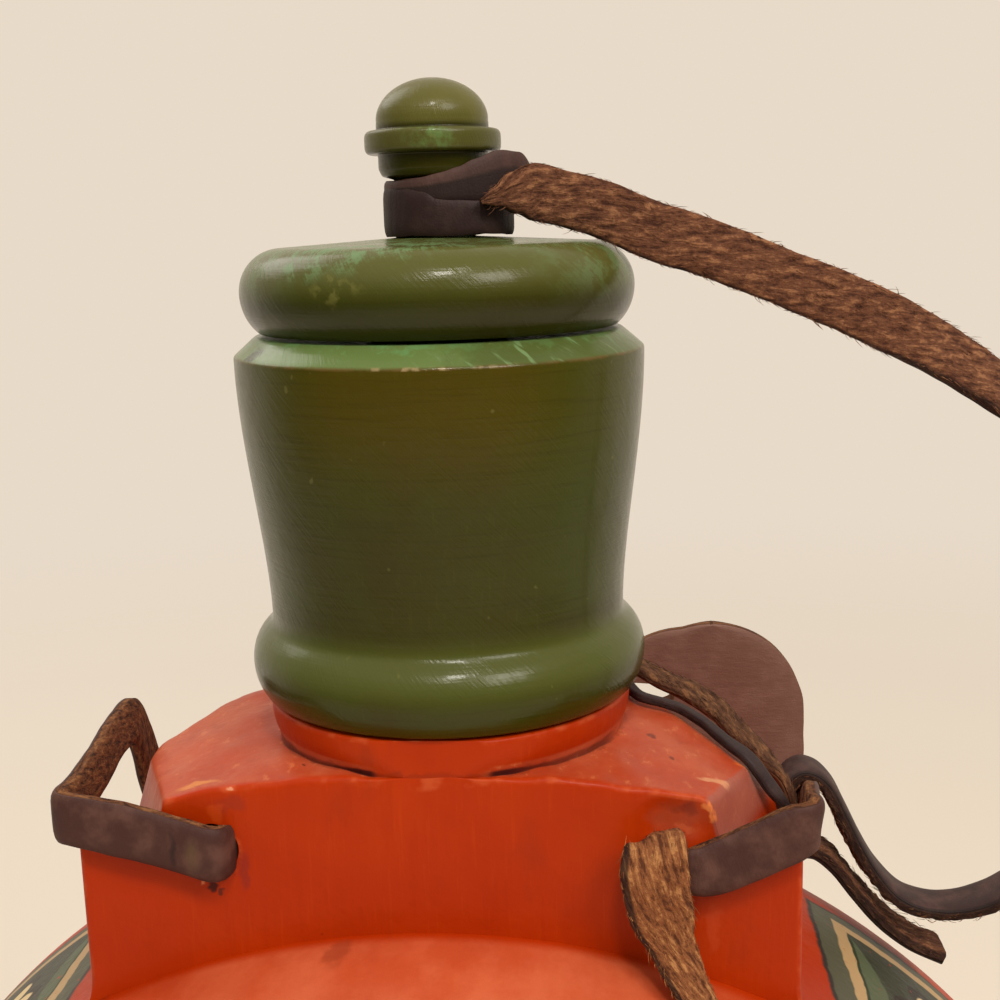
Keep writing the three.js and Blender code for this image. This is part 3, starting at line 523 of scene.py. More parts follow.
def shoulder_marks(place, colour):
    """Marks on the shoulder: a paler top, dusty and with painted sheen, the upper roll paler as painted light
    from above, grey cut facets and a thin dark line round the collar's foot, then rubbed spots and stains:
    pale on the front edge, reddish in the hollow above the right hole, dark at the left hole, with a
    painted glint on the left front edge and a painted highlight on the hollow's right rim. Each has its x,
    its way in from the front, its drop below the top, reach, colour and strength."""
    x, y, z = place.parts()
    loose = place.strayed(0.4, 3.2)
    front = -slab_front
    rise = z - shoulder_top
    top = y.step(front + 0.2, front + 1.2) * rise.between(-9.0, -6.0, 0.8, 1.2)
    # The top is paler: dusty, with painted sheen over it.
    dust_and_painted_light = place.stretch(1, 0.6, 1).noise(0.16, 4, 0.6)
    colour = (top * (0.2 + dust_and_painted_light.step(0.35, 0.7) * 0.35)).over(colour, 206, 112, 76)
    flakes = place.stretch(1, 0.5, 1).noise(0.6, 5, 0.7)
    colour = (top * flakes.step(0.55, 0.68) * 0.35).over(colour, 234, 142, 88)
    colour = (top * flakes.step(0.44, 0.34) * 0.3).over(colour, 160, 62, 36)
    # Painted light: the upper part of the roll is paler, as lit from above.
    roll = y.step(front - 0.1, front - 2.0) * rise.step(-26.0, -17.0)
    colour = (roll * (0.3 + dust_and_painted_light.step(0.35, 0.7) * 0.3)).over(colour, 222, 118, 78)
    facet = abs(plane_gap(place, *facet_plane)).step(0.5, 0.2) * rise.step(-9.0, -7.0)
    colour = (facet * 0.65).over(colour, 158, 92, 78)
    # A thin dark line round the collar's foot, where it meets the shoulder's top at the front.
    oval = ((x / collar_half) ** 2 + (y / (collar_half * collar_stretch)) ** 2) ** 0.5
    foot = abs((oval - 1) * 18.9 + (place.noise(0.4, 2) - 0.5) * 0.3)
    tip = abs(x).between(4.9, 6.2, 7.0, 11.0)
    line = (foot - tip * 0.08).step(0.26, 0.08) * rise.step(0.7, 0.3)
    line = line * abs(x).step(4.9, 6.0) * y.step(-5.0, -9.0)
    colour = (line * (0.6 + tip * 0.35)).over(colour, 58, 22, 24)
    for mark_x, into, drop, reach, shade, much in (
        (-23.5, 2.2, 1.6, (2.6, 1.1, 1.4), (226, 138, 66), 0.75),
        # painted glint on the left front edge
        (-19.7, 0.1, 1.2, (0.6, 0.5, 0.3), (240, 180, 140), 0.6),
        (27.4, 5.6, 2.4, (2.2, 0.9, 1.5), (226, 158, 110), 0.7),
        (30.3, 12.2, 3.6, (1.2, 0.7, 1.2), (226, 104, 36), 0.8),
        (23.6, 0, 4.0, (3.8, 1.8, 2.4), (166, 66, 38), 0.75),
        (24.4, 0, 3.2, (1.9, 1.8, 0.7), (128, 46, 30), 0.6),
        (24.2, 0, 5.0, (1.2, 1.8, 0.5), (202, 92, 52), 0.6),
        (26.5, -0.4, 15.0, (1.0, 3.0, 3.6), (210, 86, 48), 0.25),
        # painted highlight on the right rim of the worn hollow
        (26.7, 0, 3.4, (0.4, 1.0, 1.5), (232, 128, 66), 0.8),
        (-21.9, 0, 11.5, (0.75, 1.0, 0.5), (62, 22, 18), 0.9),
        (-21.0, 0, 12.0, (0.5, 1.0, 0.35), (90, 36, 24), 0.8),
        (-22.6, 0, 10.9, (0.5, 1.0, 0.3), (240, 150, 100), 0.7),
        (-19.7, 0, 2.9, (1.9, 1.2, 1.2), (146, 48, 30), 0.45),
        (-19.0, 0, 9.6, (0.9, 1.2, 2.6), (128, 38, 34), 0.5),
        (-21.2, 0, 3.6, (1.2, 1.2, 1.0), (206, 78, 24), 0.4),
        (-13.5, 3.8, 0, (0.35, 0.6, 0.6), (80, 34, 26), 0.8),
        (21.2, 14.6, 1.2, (0.5, 0.7, 0.6), (96, 40, 30), 0.7),
        (23.3, 9.2, 1.6, (0.45, 0.6, 0.6), (96, 40, 30), 0.7),
        (-9.7, -2.4, 17.0, (1.5, 3.0, 1.2), (140, 52, 28), 0.5),
    ):
        spot = (mark_x, front + into, shoulder_top - drop)
        colour = (loose.near(spot, reach) * much).over(colour, *shade)
    return colour


def rim_ornament(place, colour):
    """Hand-painted panels on both sides of the rim: a dark line, a cream stripe and six-petalled flowers
    between leaves on dark green. Lengths are in mm: run along the rim from the top, level across it."""
    x, y, z = place.parts()
    run = x.math("ARCTAN2", abs(x), z - body_middle) * body_radius + (place.noise(0.35, 2) - 0.5) * 1.0
    level = y + 4.0 + (place.stretch(1, 1, 1.3).noise(0.3, 2) - 0.5) * 1.0
    radius = ((z - body_middle) ** 2 + x**2) ** 0.5
    on_rim = radius.step(78.0, 79.0) * abs(level).step(13.6, 13.2)
    panel = on_rim * run.between(41.0, 41.5, 202.9, 203.4)

    def field(first, last, half):
        """The part of the rim between two runs and within half of the panel's middle line."""
        return on_rim * run.between(first, first + 0.3, last - 0.3, last) * abs(level).step(half, half - 0.3)

    band, stripe, inside = field(41.7, 202.7, 13.2), field(44.4, 200.0, 11.7), field(46.2, 198.2, 10.2)
    period = 25.3
    local = run.math("MODULO", run - 46.4, period) - period / 2
    petal = (local**2 + level**2) ** 0.5
    lobes = abs(run.math("COSINE", run.math("ARCTAN2", level, local) * 3.0)) ** 0.6 * 4.6
    flower = (petal - lobes).step(4.0, 3.6) * inside
    cream = (petal - lobes).step(2.4, 2.0) * inside
    heart = petal.step(2.9, 2.6) * inside
    side = abs(abs(local) - period / 2)
    leaf = (side - (1 - (level / 9.5) ** 2) * 3.2).step(0.2, -0.2) * inside
    rib = (side - 0.35).step(0.1, -0.1) * leaf
    painted = band.mix(tone(52, 42, 36), tone(86, 84, 64))
    for layer, shade in (
        (stripe, (188, 152, 106)),
        (inside, (56, 58, 42)),
        (leaf, (86, 94, 66)),
        (rib, (44, 54, 30)),
        (flower, (40, 30, 22)),
        (cream, (226, 196, 142)),
        (heart, (206, 96, 30)),
    ):
        painted = layer.over(painted, *shade)
    return (place.noise(0.9, 4, 0.6).step(0.26, 0.34) * panel).mix(colour, painted)


def red_paint(name, on_body):
    """Red paint on beech under varnish: faint upright brush streaks and grain, paler rubbed edges, dark
    specks, and painted shade in the creases. On the body it also has the shoulder's wear and painted light,
    and the painted rim."""
    made, start, place = finish_of(name)
    bend = start.stored("bend", "Fac")
    cloud = place.noise(0.05, 4)
    streak = place.stretch(1, 1, 0.1).noise(0.6, 4, 0.6)
    grain = place.stretch(1, 1, 0.06).noise(2.2, 3, 0.6)
    fleck = place.noise(1.1, 5, 0.65)
    colour = cloud.step(0.35, 0.7).mix(tone(174, 46, 0), tone(186, 55, 1))
    colour = (streak.step(0.5, 0.8) * 0.4).over(colour, 164, 40, 0)
    colour = (grain.step(0.56, 0.76) * 0.2).over(colour, 204, 70, 8)
    stain = place.stretch(1, 1, 0.5).noise(0.13, 5, 0.6).step(0.6, 0.74)
    colour = (stain * 0.3).over(colour, 150, 46, 14)
    rubbed = bend.step(0.2, 0.8) * place.noise(0.5, 3).step(0.45, 0.7)
    if on_body:
        colour = shoulder_marks(place, colour)
        colour = rim_ornament(place, colour)
    colour = (rubbed * 0.3).over(colour, 226, 116, 66)
    # Painted shade: darker in the creases, where the surface bends inwards, with dark specks.
    speck = place.noise(0.8, 2).step(0.77, 0.83) * 0.4
    crease_shade_and_specks = (bend.step(-0.3, -1.2) * 0.25).most(speck)
    colour = crease_shade_and_specks.over(colour, 84, 28, 16)
    rough = 0.32 + fleck * 0.2 + rubbed * 0.1
    height = streak * 0.4 + fleck * 0.3 + place.noise(0.25, 3) * 1.2
    surface(
        start,
        Base_Color=colour,
        Roughness=rough,
        Normal=height.bump(0.0002, 0.6),
        Specular_IOR_Level=0.14,
        Coat_Weight=0.03,
        Coat_Roughness=0.15,
    )
    return made


canteen_body.data.materials.append(red_paint("red_paint_body", True))
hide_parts("body")
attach(canteen_body, "canteen")

# Back disc: a turned lid of the same wood, glued into the rebate behind the hollow, with two turned rings.
# It is painted as the body is.
disc_rise = 5.0
disc_roll = 9.0
disc_crown = 3.0
disc_wall = 8.0
disc_edge = disc_radius - 0.3
disc_inner = disc_edge - disc_roll
disc_face = slab_back + disc_rise
disc_r = np.linspace(disc_inner, 0, 500)
disc_dip = np.clip(1 - (2 * (disc_r[:, None] - ring_radii[:2]) / ring_width) ** 2, 0, None).sum(1)
disc_angle = np.linspace(0, np.pi / 2, 60)
disc_roll_r = disc_inner + disc_roll * np.cos(disc_angle)
disc_face_y = disc_face + disc_crown * (1 - disc_r / disc_inner) - ring_depth * disc_dip
disc_floor = disc_face + disc_crown - disc_wall
disc_foot = slab_back - disc_seat + 0.3
disc_profile = np.vstack(
    [
        [[0, disc_floor], [disc_inner - disc_roll, disc_floor]],
        [[disc_inner, disc_foot], [disc_edge, disc_foot]],
        np.stack([disc_roll_r, slab_back + disc_rise * np.sin(disc_angle)], 1),
        np.stack([disc_r, disc_face_y], 1)[1:],
    ]
)
disc_rows = picked(worn(disc_profile, 0.1, 0.25), 110, 3.0)
back_disc = skin("back_lid", turned(disc_rows, 240, (0, 0, body_middle), along_y=True))
smoothed(back_disc, 38)
back_disc.data.materials.append(red_paint("red_paint_lid", False))
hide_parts("back_disc")
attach(back_disc, "canteen")

# Neck: turned beech stained green under glossy varnish, with a bead at its foot, a barrel that widens
# upwards and a chamfered rim. Its tenon is glued into the collar.
neck_foot = 186.1
tenon_radius = 11.0
tenon_foot = 165.8
bead_radius = 20.85
bead_round = 3.5
bead_drop = 3.4  # from the bead's widest line down to the neck's foot, and up to the waist
bead_rise = 4.0
bead_low = 4.6  # half heights of the ellipses below and above that line
bead_high = 4.28
bead_widest = neck_foot + bead_drop
waist_radius = 18.6
waist_rise = 7.7
waist_pull = 15.7  # the barrel's curve is pulled towards these two heights
barrel_pull = 25.6
barrel_radius = 21.03
barrel_top = neck_foot + 35.15
chamfer_in = 2.25
rim_top = barrel_top + 1.95


def ellipse(middle, level, wide, high, first, last, count):
    """Points of an ellipse in a profile, by angle from the outward level way, in radians."""
    angle = np.linspace(first, last, count)
    return np.stack([middle + wide * np.cos(angle), level + high * np.sin(angle)], 1)


def bezier(a, b, c, d, count):
    """A cubic curve from a to d, pulled towards b and c."""
    t = np.linspace(0, 1, count)[:, None]
    a, b, c, d = (np.array(point, float) for point in (a, b, c, d))
    return a * (1 - t) ** 3 + 3 * b * t * (1 - t) ** 2 + 3 * c * t**2 * (1 - t) + d * t**3


bead_in = bead_radius - bead_round
neck_profile = np.vstack(
    [
        [[bore, tenon_foot], [tenon_radius, tenon_foot], [tenon_radius, neck_foot]],
        ellipse(bead_in, bead_widest, bead_round, bead_low, -np.arcsin(bead_drop / bead_low), 0, 40),
        ellipse(bead_in, bead_widest, bead_round, bead_high, 0, np.arcsin(bead_rise / bead_high), 60)[1:],
        bezier(
            (waist_radius, neck_foot + waist_rise),
            (waist_radius, neck_foot + waist_pull),
            (barrel_radius, neck_foot + barrel_pull),
            (barrel_radius, barrel_top),
            120,
        ),
        [[barrel_radius - chamfer_in, rim_top], [bore, rim_top]],
    ]
)
neck_loop = np.vstack([neck_profile, neck_profile[:1]])
neck_crisp = worn(neck_loop, 0.05, 0.14)
neck_eased = worn(neck_loop, 0.05, 0.55)
neck_ease = np.exp(-(((neck_crisp[:, 1:] - neck_foot - 7.6) / 1.5) ** 2)) * (neck_crisp[:, :1] > 15)
neck_rows = picked(neck_crisp * (1 - neck_ease) + neck_eased * neck_ease, 180, 2.2)
green_neck = skin("green_neck", turned(neck_rows, 256))
smoothed(green_neck, 35)


def green_stain(name):
    """Green stain on turned beech under varnish: lathe lines, brown where the stain is thin, pale green
    wear on chamfer, bun and finial, and fine slanting tool marks that break up the gloss. Laid in as
    painted light and shade: a paler band over the bun's top, a highlight on the chamfer's lower edge, a
    shadow on the chamfer, shade under the bun and darker creases."""
    made, start, place = finish_of(name)
    bend = start.stored("bend", "Fac")
    x, y, z = place.parts()
    lines = place.stretch(0.1, 0.1, 2.6).noise(1.0, 4, 0.6)
    cloud = place.stretch(1, 1, 0.6).noise(0.07, 4, 0.55)
    fibre = place.stretch(2.4, 2.4, 0.22).noise(1.0, 4, 0.6)
    patch = place.noise(0.4, 5, 0.65)
    around = x.math("ARCTAN2", y, x) * 20.0
    slant = start.node("ShaderNodeCombineXYZ", {}, {0: (around + z) * 2.4, 1: (around - z) * 0.2, 2: 0.0})
    marks = slant.noise(1.0, 3, 0.6)
    on_bead, on_barrel, past_rim = z - neck_foot, z - barrel_top, z - rim_top
    colour = cloud.step(0.35, 0.65).mix(tone(56, 51, 4), tone(56, 60, 8))
    brown = on_barrel.between(-15.25, -3.25, -0.05, 0.35)
    colour = (brown * (0.35 + lines * 0.5)).over(colour, 84, 68, 10)
    sides = abs(x).step(7.0, 16.0) * on_barrel.between(-26.25, -23.25, -0.25, 0.15)
    colour = (sides * 0.55).over(colour, 58, 68, 16)
    colour = (lines.step(0.45, 0.75) * 0.4).over(colour, 44, 44, 4)
    colour = (fibre.step(0.56, 0.8) * 0.2).over(colour, 86, 82, 26)
    colour = (on_bead.between(2.4, 5.4, 6.9, 9.9) * 0.6).over(colour, 92, 98, 48)
    chamfer = on_barrel.between(-0.15, 0.25, 1.95, 2.35)
    left = (x + (patch - 0.5) * 9).step(7.0, 1.0)
    colour = (chamfer * (0.5 + left * 0.5)).over(colour, 100, 120, 64)
    streaks = slant.stretch(0.35, 1.2, 1).noise(1.0, 2).step(0.58, 0.7) * (1 - left * 0.8)
    colour = (chamfer * streaks * 0.5).over(colour, 136, 170, 116)
    mint = (patch + past_rim * 0.14).step(0.42, 0.56) * (0.35 + left * 0.65)
    colour = (chamfer * mint * 0.6).over(colour, 104, 150, 92)
    shadow = place.strayed(0.6, 2.0).near((-16.8, -11.5, rim_top - 1.2), (1.8, 1.6, 1.3))
    colour = (chamfer * shadow * 0.8).over(colour, 48, 46, 18)
    edge = abs(on_barrel + (patch - 0.5) * 0.3).step(0.24, 0.06)
    colour = (edge * patch.step(0.35, 0.6) * 0.45).over(colour, 112, 80, 44)
    # Painted highlight along the chamfer's lower edge, at the front.
    painted_edge_highlight = edge * x.between(-6.0, -3.0, 5.0, 9.0) * place.noise(0.9, 3).step(0.46, 0.62)
    colour = (painted_edge_highlight * 0.45).over(colour, 186, 162, 116)
    bun = past_rim.between(2.8, 7.3, 9.2, 10.0)
    colour = (bun * 0.65).over(colour, 98, 99, 50)
    # Painted shade on the bun's underside.
    shade_under_bun = past_rim.between(0.2, 0.6, 2.8, 5.3) * past_rim.step(-0.2, 0.4)
    colour = (shade_under_bun * 0.5).over(colour, 34, 36, 6)
    # Pale green wear on the bun, with a paler band over its top as painted light from above.
    lit_bun_top = (y + (patch - 0.5) * 8).step(-18.0, -9.0)
    rubs_and_lit_top = place.strayed(0.3, 4.0).near((-5.0, -14.5, rim_top + 8.0), (14.0, 6.0, 3.0)).most(lit_bun_top * 0.5)
    scuffs_and_lit_top = bun * (patch * 0.8 + marks * 0.3).step(0.48, 0.62) * rubs_and_lit_top
    colour = (scuffs_and_lit_top * 0.8).over(colour, 106, 138, 90)
    mottle = place.strayed(0.4, 3.0).near((-7.0, -18.5, rim_top + 5.2), (4.2, 2.6, 1.4))
    colour = (mottle * place.noise(0.9, 3).step(0.48, 0.62) * 0.4).over(colour, 124, 120, 62)
    ring = past_rim.between(17.6, 18.1, 19.7, 20.2)
    colour = (ring * 0.55).over(colour, 100, 97, 50)
    ring_rub = place.strayed(0.5, 2.4).near((0.6, -6.9, rim_top + 18.9), (3.4, 2.2, 1.5))
    ring_rub = ring_rub.most(patch.step(0.56, 0.68) * 0.5) * place.noise(0.7, 4, 0.6).step(0.34, 0.66)
    colour = (ring * ring_rub * 0.7).over(colour, 104, 134, 74)
    knob = past_rim.step(20.0, 20.8)
    colour = (knob * 0.65).over(colour, 106, 102, 50)
    colour = (knob * cloud.step(0.4, 0.7) * 0.35).over(colour, 122, 112, 52)
    speck = place.noise(0.55, 2).step(0.72, 0.78) * 0.2
    colour = speck.over(colour, 142, 138, 76)
    # Painted shade: darker in the creases.
    colour = (bend.step(-0.2, -0.9) * 0.5).over(colour, 36, 34, 10)
    rough = 0.15 + place.noise(0.6, 4) * 0.16 + scuffs_and_lit_top * 0.15
    height = lines * 0.3 + marks * 0.45 + place.noise(0.22, 2) * 1.2
    surface(
        start,
        Base_Color=colour,
        Roughness=rough,
        Normal=height.bump(0.0002, 0.5),
        Specular_IOR_Level=0.22,
        Coat_Weight=0.1,
        Coat_Roughness=0.07,
    )
    return made


green_neck.data.materials.append(green_stain("green_stain_neck"))
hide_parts("neck")
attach(green_neck, "canteen")

# Stopper: bun, finial and plug turned from one piece of beech and stained as the neck is. The plug is a
# push fit in the bore; the groove below the finial takes the lanyard.
seat = rim_top + 0.3
plug_foot = seat - 26.0
plug_tip = 5.5
plug_low = 6.5
plug_high = 7.2
bun_radius = 20.1
bun_round = 4.3
bun_in = bun_radius - bun_round
bun_rise = 4.0
bun_low = 4.9  # half heights of the ellipses below and above the bun's widest line
bun_high = 4.4
bun_level = seat + bun_rise
groove_radius = 4.0
groove_level = bun_level + 5.1
flare_radius = 5.55
flare_level = groove_level + 5.75
finial_level = groove_level + 8.2
ring_half = 1.15
ring_round = 0.65
ring_past = 0.5
ring_in = 6.87 - ring_past
ring_level = finial_level + ring_half
dome_radius = 5.65
dome_high = 4.2
dome_level = finial_level + 3.2
quarter = np.pi / 2
stopper_profile = np.vstack(
    [
        [[0, plug_foot], [plug_tip, plug_foot], [plug_low, plug_foot + 1], [plug_high, seat]],
        ellipse(bun_in, bun_level, bun_round, bun_low, -np.arcsin(bun_rise / bun_low), 0, 40),
        ellipse(bun_in, bun_level, bun_round, bun_high, 0, quarter, 60)[1:],
        [[groove_radius, groove_level], [groove_radius, flare_level], [5.2, flare_level + 0.3]],
        [[flare_radius, flare_level + 1.0], [flare_radius, finial_level]],
        ellipse(ring_in, ring_level - ring_half + ring_round, ring_past, ring_round, -quarter, 0, 20),
        ellipse(ring_in, ring_level + ring_half - ring_round, ring_past, ring_round, 0, quarter, 20),
        [[dome_radius, finial_level + 2 * ring_half], [dome_radius, dome_level - 0.1]],
        [[dome_radius - 0.09, dome_level], [dome_radius, dome_level + 0.1]],
        ellipse(0, dome_level, dome_radius, dome_high, 0.04, quarter, 50),
    ]
)
green_stopper = skin("green_stopper", turned(picked(worn(stopper_profile, 0.04, 0.14), 200, 2.0), 224))
smoothed(green_stopper, 35)
green_stopper.data.materials.append(green_stain("green_stain_stopper"))
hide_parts("stopper")
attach(green_stopper, "stopper")

# Carrying strap: a short strip of thick brown leather, smooth on the outside, with rounded ends, an edge
# notch at the right one and two slits in each, through which the laces hold it behind the shoulder.
strap_width = 22.5
strap_thick = 2.4
lay_gap = 0.4
lace_thick = 1.8
strap_y = slab_back + 2 * lay_gap + lace_thick + strap_thick / 2
strap_out = disc_face + disc_crown + strap_width / 2 + 2 * lay_gap
tab_x = 29.7
tab_drop = {"right": 8.4, "left": 21.5}
tab_round = strap_width / 2
tab_inward = 3.2  # the inner half of each end bulges by this much
tab_lower = 0.6
slit_drop = {"right": 20.0, "left": 24.5}
slit_half = 6.0
slit_width = 3.6
slit_high = 9.4
notch_x = 17.3
notch_drop = 5.9
notch_width = 15.0
notch_high = 3.0
slot_reach = 6.0


def route(points, turns, steps=24, closed=False):
    """A smooth line through the points, by centripetal Catmull-Rom spans, and the way the strip's width
    lies along it with its share, which ease from each point's turn to the next."""
    points, turns = np.array(points, float), np.array(turns, float)
    if closed:
        four = [np.roll(points, shift, 0) for shift in (1, 0, -1, -2)]
        ways = [turns, np.roll(turns, -1, 0)]
    else:
        longer = np.vstack([2 * points[0] - points[1], points, 2 * points[-1] - points[-2]])
        four = [longer[k : len(longer) - 3 + k] for k in range(4)]
        ways = [turns[:-1], turns[1:]]
    a, b, c, d = four
    gap = [np.sqrt(np.linalg.norm(q - p, axis=1))[:, None] for p, q in ((a, b), (b, c), (c, d))]
    leave = ((b - a) / gap[0] - (c - a) / (gap[0] + gap[1]) + (c - b) / gap[1]) * gap[1]
    arrive = ((c - b) / gap[1] - (d - b) / (gap[1] + gap[2]) + (d - c) / gap[2]) * gap[1]
    t = np.linspace(0, 1, steps, endpoint=False)[None, :, None]
    b, c, leave, arrive = (part[:, None] for part in (b, c, leave, arrive))
    line = b + leave * t + (3 * (c - b) - 2 * leave - arrive) * t**2 + (2 * (b - c) + leave + arrive) * t**3
    ease = 3 * t**2 - 2 * t**3
    lies = ways[0][:, None] * (1 - ease) + ways[1][:, None] * ease
    line, lies = line.reshape(-1, 3), lies.reshape(-1, turns.shape[1])
    if not closed:
        line, lies = np.vstack([line, points[-1]]), np.vstack([lies, turns[-1]])
    return line, lies


def strip(
    name, line, lies, width, thick, flesh, spacing=0.5,
    closed=False, fuzz=0, seed=0, ends=None, tips=0.0, lumps=0.0,
):
    """A leather strip: an oblong section with soft edges, carried along a line with its width as lies says,
    times the share in its last column. A point of the section is the middle plus across times u plus face
    times v. The flesh side also has lumps and fuzz, ends narrows the strip, and its rows are closer at the
    tips. The attribute lay holds length along, place across at full width and side, which is -1 on the
    flesh side and 1 on the grain side."""
    both = np.hstack([line, lies])
    if closed:
        both = np.vstack([both, both[:1]])
    length = run_of(both[:, :3])
    count = int(length[-1] / spacing) + 1
    at = np.linspace(0, length[-1], count, endpoint=not closed)
    if tips:
        near = tips * (1 - np.cos(np.linspace(0, np.pi / 2, 30)))
        at = np.concatenate([near, at[(at > tips) & (at < length[-1] - tips)], length[-1] - near[::-1]])
        count = len(at)
    both = np.stack([np.interp(at, length, column) for column in both.T], 1)
    middle, lean, share = both[:, :3], both[:, 3:6], both[:, 6]
    along = np.gradient(middle, axis=0)
    if closed:
        along = np.roll(middle, -1, 0) - np.roll(middle, 1, 0)
    along = unit(along)
    across = unit(lean - along * (lean * along).sum(1)[:, None])
    face = np.cross(along, across)
    u = np.sin(np.linspace(-np.pi / 2, np.pi / 2, 11))
    v = 1 - 0.45 * np.abs(u) ** 6
    u, v = np.concatenate([u, u[::-1]]), np.concatenate([v, -v])
    wave = np.sin(at * 0.31 + seed) + 0.6 * np.sin(at * 0.83 + 2.1 * seed) + 0.4 * np.sin(at * 1.9 + seed)
    half = (width / 2 * share + 0.05 * wave * share)[:, None] * np.ones(2)
    half = half if ends is None else half * ends(at, length[-1])
    deep = thick / 2 * (1 + 0.03 * np.sin(at * 0.57 + 1.7 * seed))
    chance = np.random.default_rng(seed)
    rough = chance.normal(0, 1, (count, 22))
    rough = (rough + np.roll(rough, 1, 0) + np.roll(rough, 1, 1) + np.roll(rough, (1, 1), (0, 1))) / 2
    out = v * (1 + lumps / deep[:, None] * rough * (v * flesh > 0))
    grid = (
        middle[:, None]
        + across[:, None] * (half[:, (u > 0).astype(int)] * u)[..., None]
        + face[:, None] * (deep[:, None] * out)[..., None]
    )
    lay = np.stack(np.broadcast_arrays(at[:, None], width / 2 * u, np.sign(v) * -flesh), 2)
    rows, columns = grid.shape[:2]
    here = np.arange(rows * columns).reshape(rows, columns)
    ahead = np.roll(here, -1, 0) if closed else here[1:]
    here = here if closed else here[:-1]
    faces = np.stack([here, np.roll(here, -1, 1), np.roll(ahead, -1, 1), ahead], 2).reshape(-1, 4).tolist()
    points, marks = grid.reshape(-1, 3), lay.reshape(-1, 3)
    if not closed:
        faces += [list(range(columns)), list(range(rows * columns - 1, (rows - 1) * columns - 1, -1))]
    if fuzz:
        hair_points, hair_faces, hair_marks = fibres(
            middle, along, across, face * flesh, half.min(1), deep, at, fuzz, chance
        )
        faces += (hair_faces + len(points)).tolist()
        points, marks = np.vstack([points, hair_points]), np.vstack([marks, hair_marks])
    made = made_piece(name, points, faces, lay=marks)
    shaded(made.data, 50)
    return made, middle * 0.001


def fibres(middle, along, across, face, half, deep, at, count, chance):
    """Loose fibres of the flesh side: thin three-sided spikes that leave the face or its two edges and bend
    back along the strip. A fibre's middle is its root plus way times t plus droop times t squared."""
    i = chance.integers(2, len(middle) - 2, count)
    edge = chance.random(count) < 0.5
    place = np.where(edge, np.sign(chance.random(count) - 0.5), chance.uniform(-0.95, 0.95, count))
    level = np.where(edge, chance.uniform(-0.4, 0.8, count), 0.9)
    root = middle[i] + across[i] * (half[i] * place * 0.97)[:, None] + face[i] * (deep[i] * level)[:, None]
    ahead = np.where(chance.random(count) < 0.7, 1.0, -1.0)[:, None] * along[i]
    lift = face[i] * chance.uniform(0.1, 0.6, count)[:, None]
    lift = lift + across[i] * (np.where(edge, place * 0.6, 0) + chance.normal(0, 0.4, count))[:, None]
    way = ahead + lift
    long = chance.uniform(0.3, 0.8, count) + 0.7 * (chance.random(count) < 0.08)
    way *= (long / np.linalg.norm(way, axis=1))[:, None]
    droop = ahead * 0.15 - lift * 0.25
    side = unit(np.cross(way, face[i] + 0.3 * along[i]))
    up = unit(np.cross(side, way))
    thick = chance.uniform(0.03, 0.055, count)
    t = np.array([-0.1, 0.45, 0.8])
    spine = root[:, None] + way[:, None] * t[:, None] + droop[:, None] * (t**2)[:, None]
    turn = np.array([0, 2 * np.pi / 3, 4 * np.pi / 3])
    girth = thick[:, None] * (1 - 0.75 * np.clip(t, 0, 1))
    ring = side[:, None, None] * np.cos(turn)[:, None] + up[:, None, None] * np.sin(turn)[:, None]
    points = (spine[:, :, None] + ring * girth[:, :, None, None]).reshape(count, 9, 3)
    points = np.concatenate([points, (root + way + droop)[:, None]], 1).reshape(-1, 3)
    triangles = [[0, 2, 1]]
    for row in (0, 3):
        for k in range(3):
            a, b = row + k, row + (k + 1) % 3
            triangles += [[a, b, b + 3], [a, b + 3, a + 3]]
    triangles += [[6 + k, 6 + (k + 1) % 3, 9] for k in range(3)]
    faces = (np.array(triangles)[None] + 10 * np.arange(count)[:, None, None]).reshape(-1, 3)
    shade = [at[i] + chance.uniform(-30, 30, count), chance.uniform(-1.5, 2, count), -np.ones(count)]
    shade = np.stack(shade, 1)
    return points, faces, np.repeat(shade, 10, 0)


def leather(name, grain, worn_grain, flesh, shadow_edge=0.0, marks=()):
    """Strip leather: the grain side smooth with fine creases and rubbed patches, the flesh side rough with
    slanting clumps of fibre in three tones, the cut edges between. It reads the strip's own length, place
    across and side; shadow_edge is the half width beyond which the lower edge is darkened as painted
    shade."""
    made, start, place = finish_of(name)
    flesh = [tone(*shade) for shade in flesh]
    lay = start.stored("lay", "Vector")
    along, across, side = lay.parts()
    grainy = side.step(0.35, 0.75)
    crease = lay.stretch(1.6, 0.35, 1).noise(1.0, 4, 0.6)
    patch = place.noise(0.35, 4, 0.6)
    pore = place.noise(4.5, 2)
    smooth = patch.step(0.4, 0.75).mix(tone(*grain), tone(*worn_grain))
    smooth = (crease.step(0.6, 0.75) * 0.2).mix(smooth, flesh[0])
    lean, cross = along * 0.42 + across * 0.3, across * 1.5 - along * 0.5
    slant = start.node("ShaderNodeCombineXYZ", {}, {0: lean, 1: cross, 2: side})
    clump = slant.noise(1.0, 5, 0.65, 0.25)
    short = place.noise(2.6, 5, 0.7)
    hairy = clump * 0.75 + short * 0.25
    rough_side = hairy.step(0.4, 0.5).mix(flesh[0], flesh[1])
    rough_side = hairy.step(0.5, 0.62).mix(rough_side, flesh[2])
    colour = grainy.mix(rough_side, smooth)
    # Painted shade along the lower edge.
    if shadow_edge:
        colour = (across.step(-shadow_edge, -shadow_edge - 0.3) * 0.8).over(colour, 36, 24, 22)
    for spot, reach, shade, much in marks:
        colour = (place.strayed(0.5, 0.8).near(spot, reach) * much).over(colour, *shade)
    rough = 0.95 - grainy * (0.45 - patch * 0.2)
    height = grainy * (crease * 0.3 + pore * 0.1) + (1 - grainy) * hairy * 2.2
    normal = height.bump(0.0004, 0.8)
    surface(start, Base_Color=colour, Roughness=rough, Normal=normal, Specular_IOR_Level=0.28)
    return made


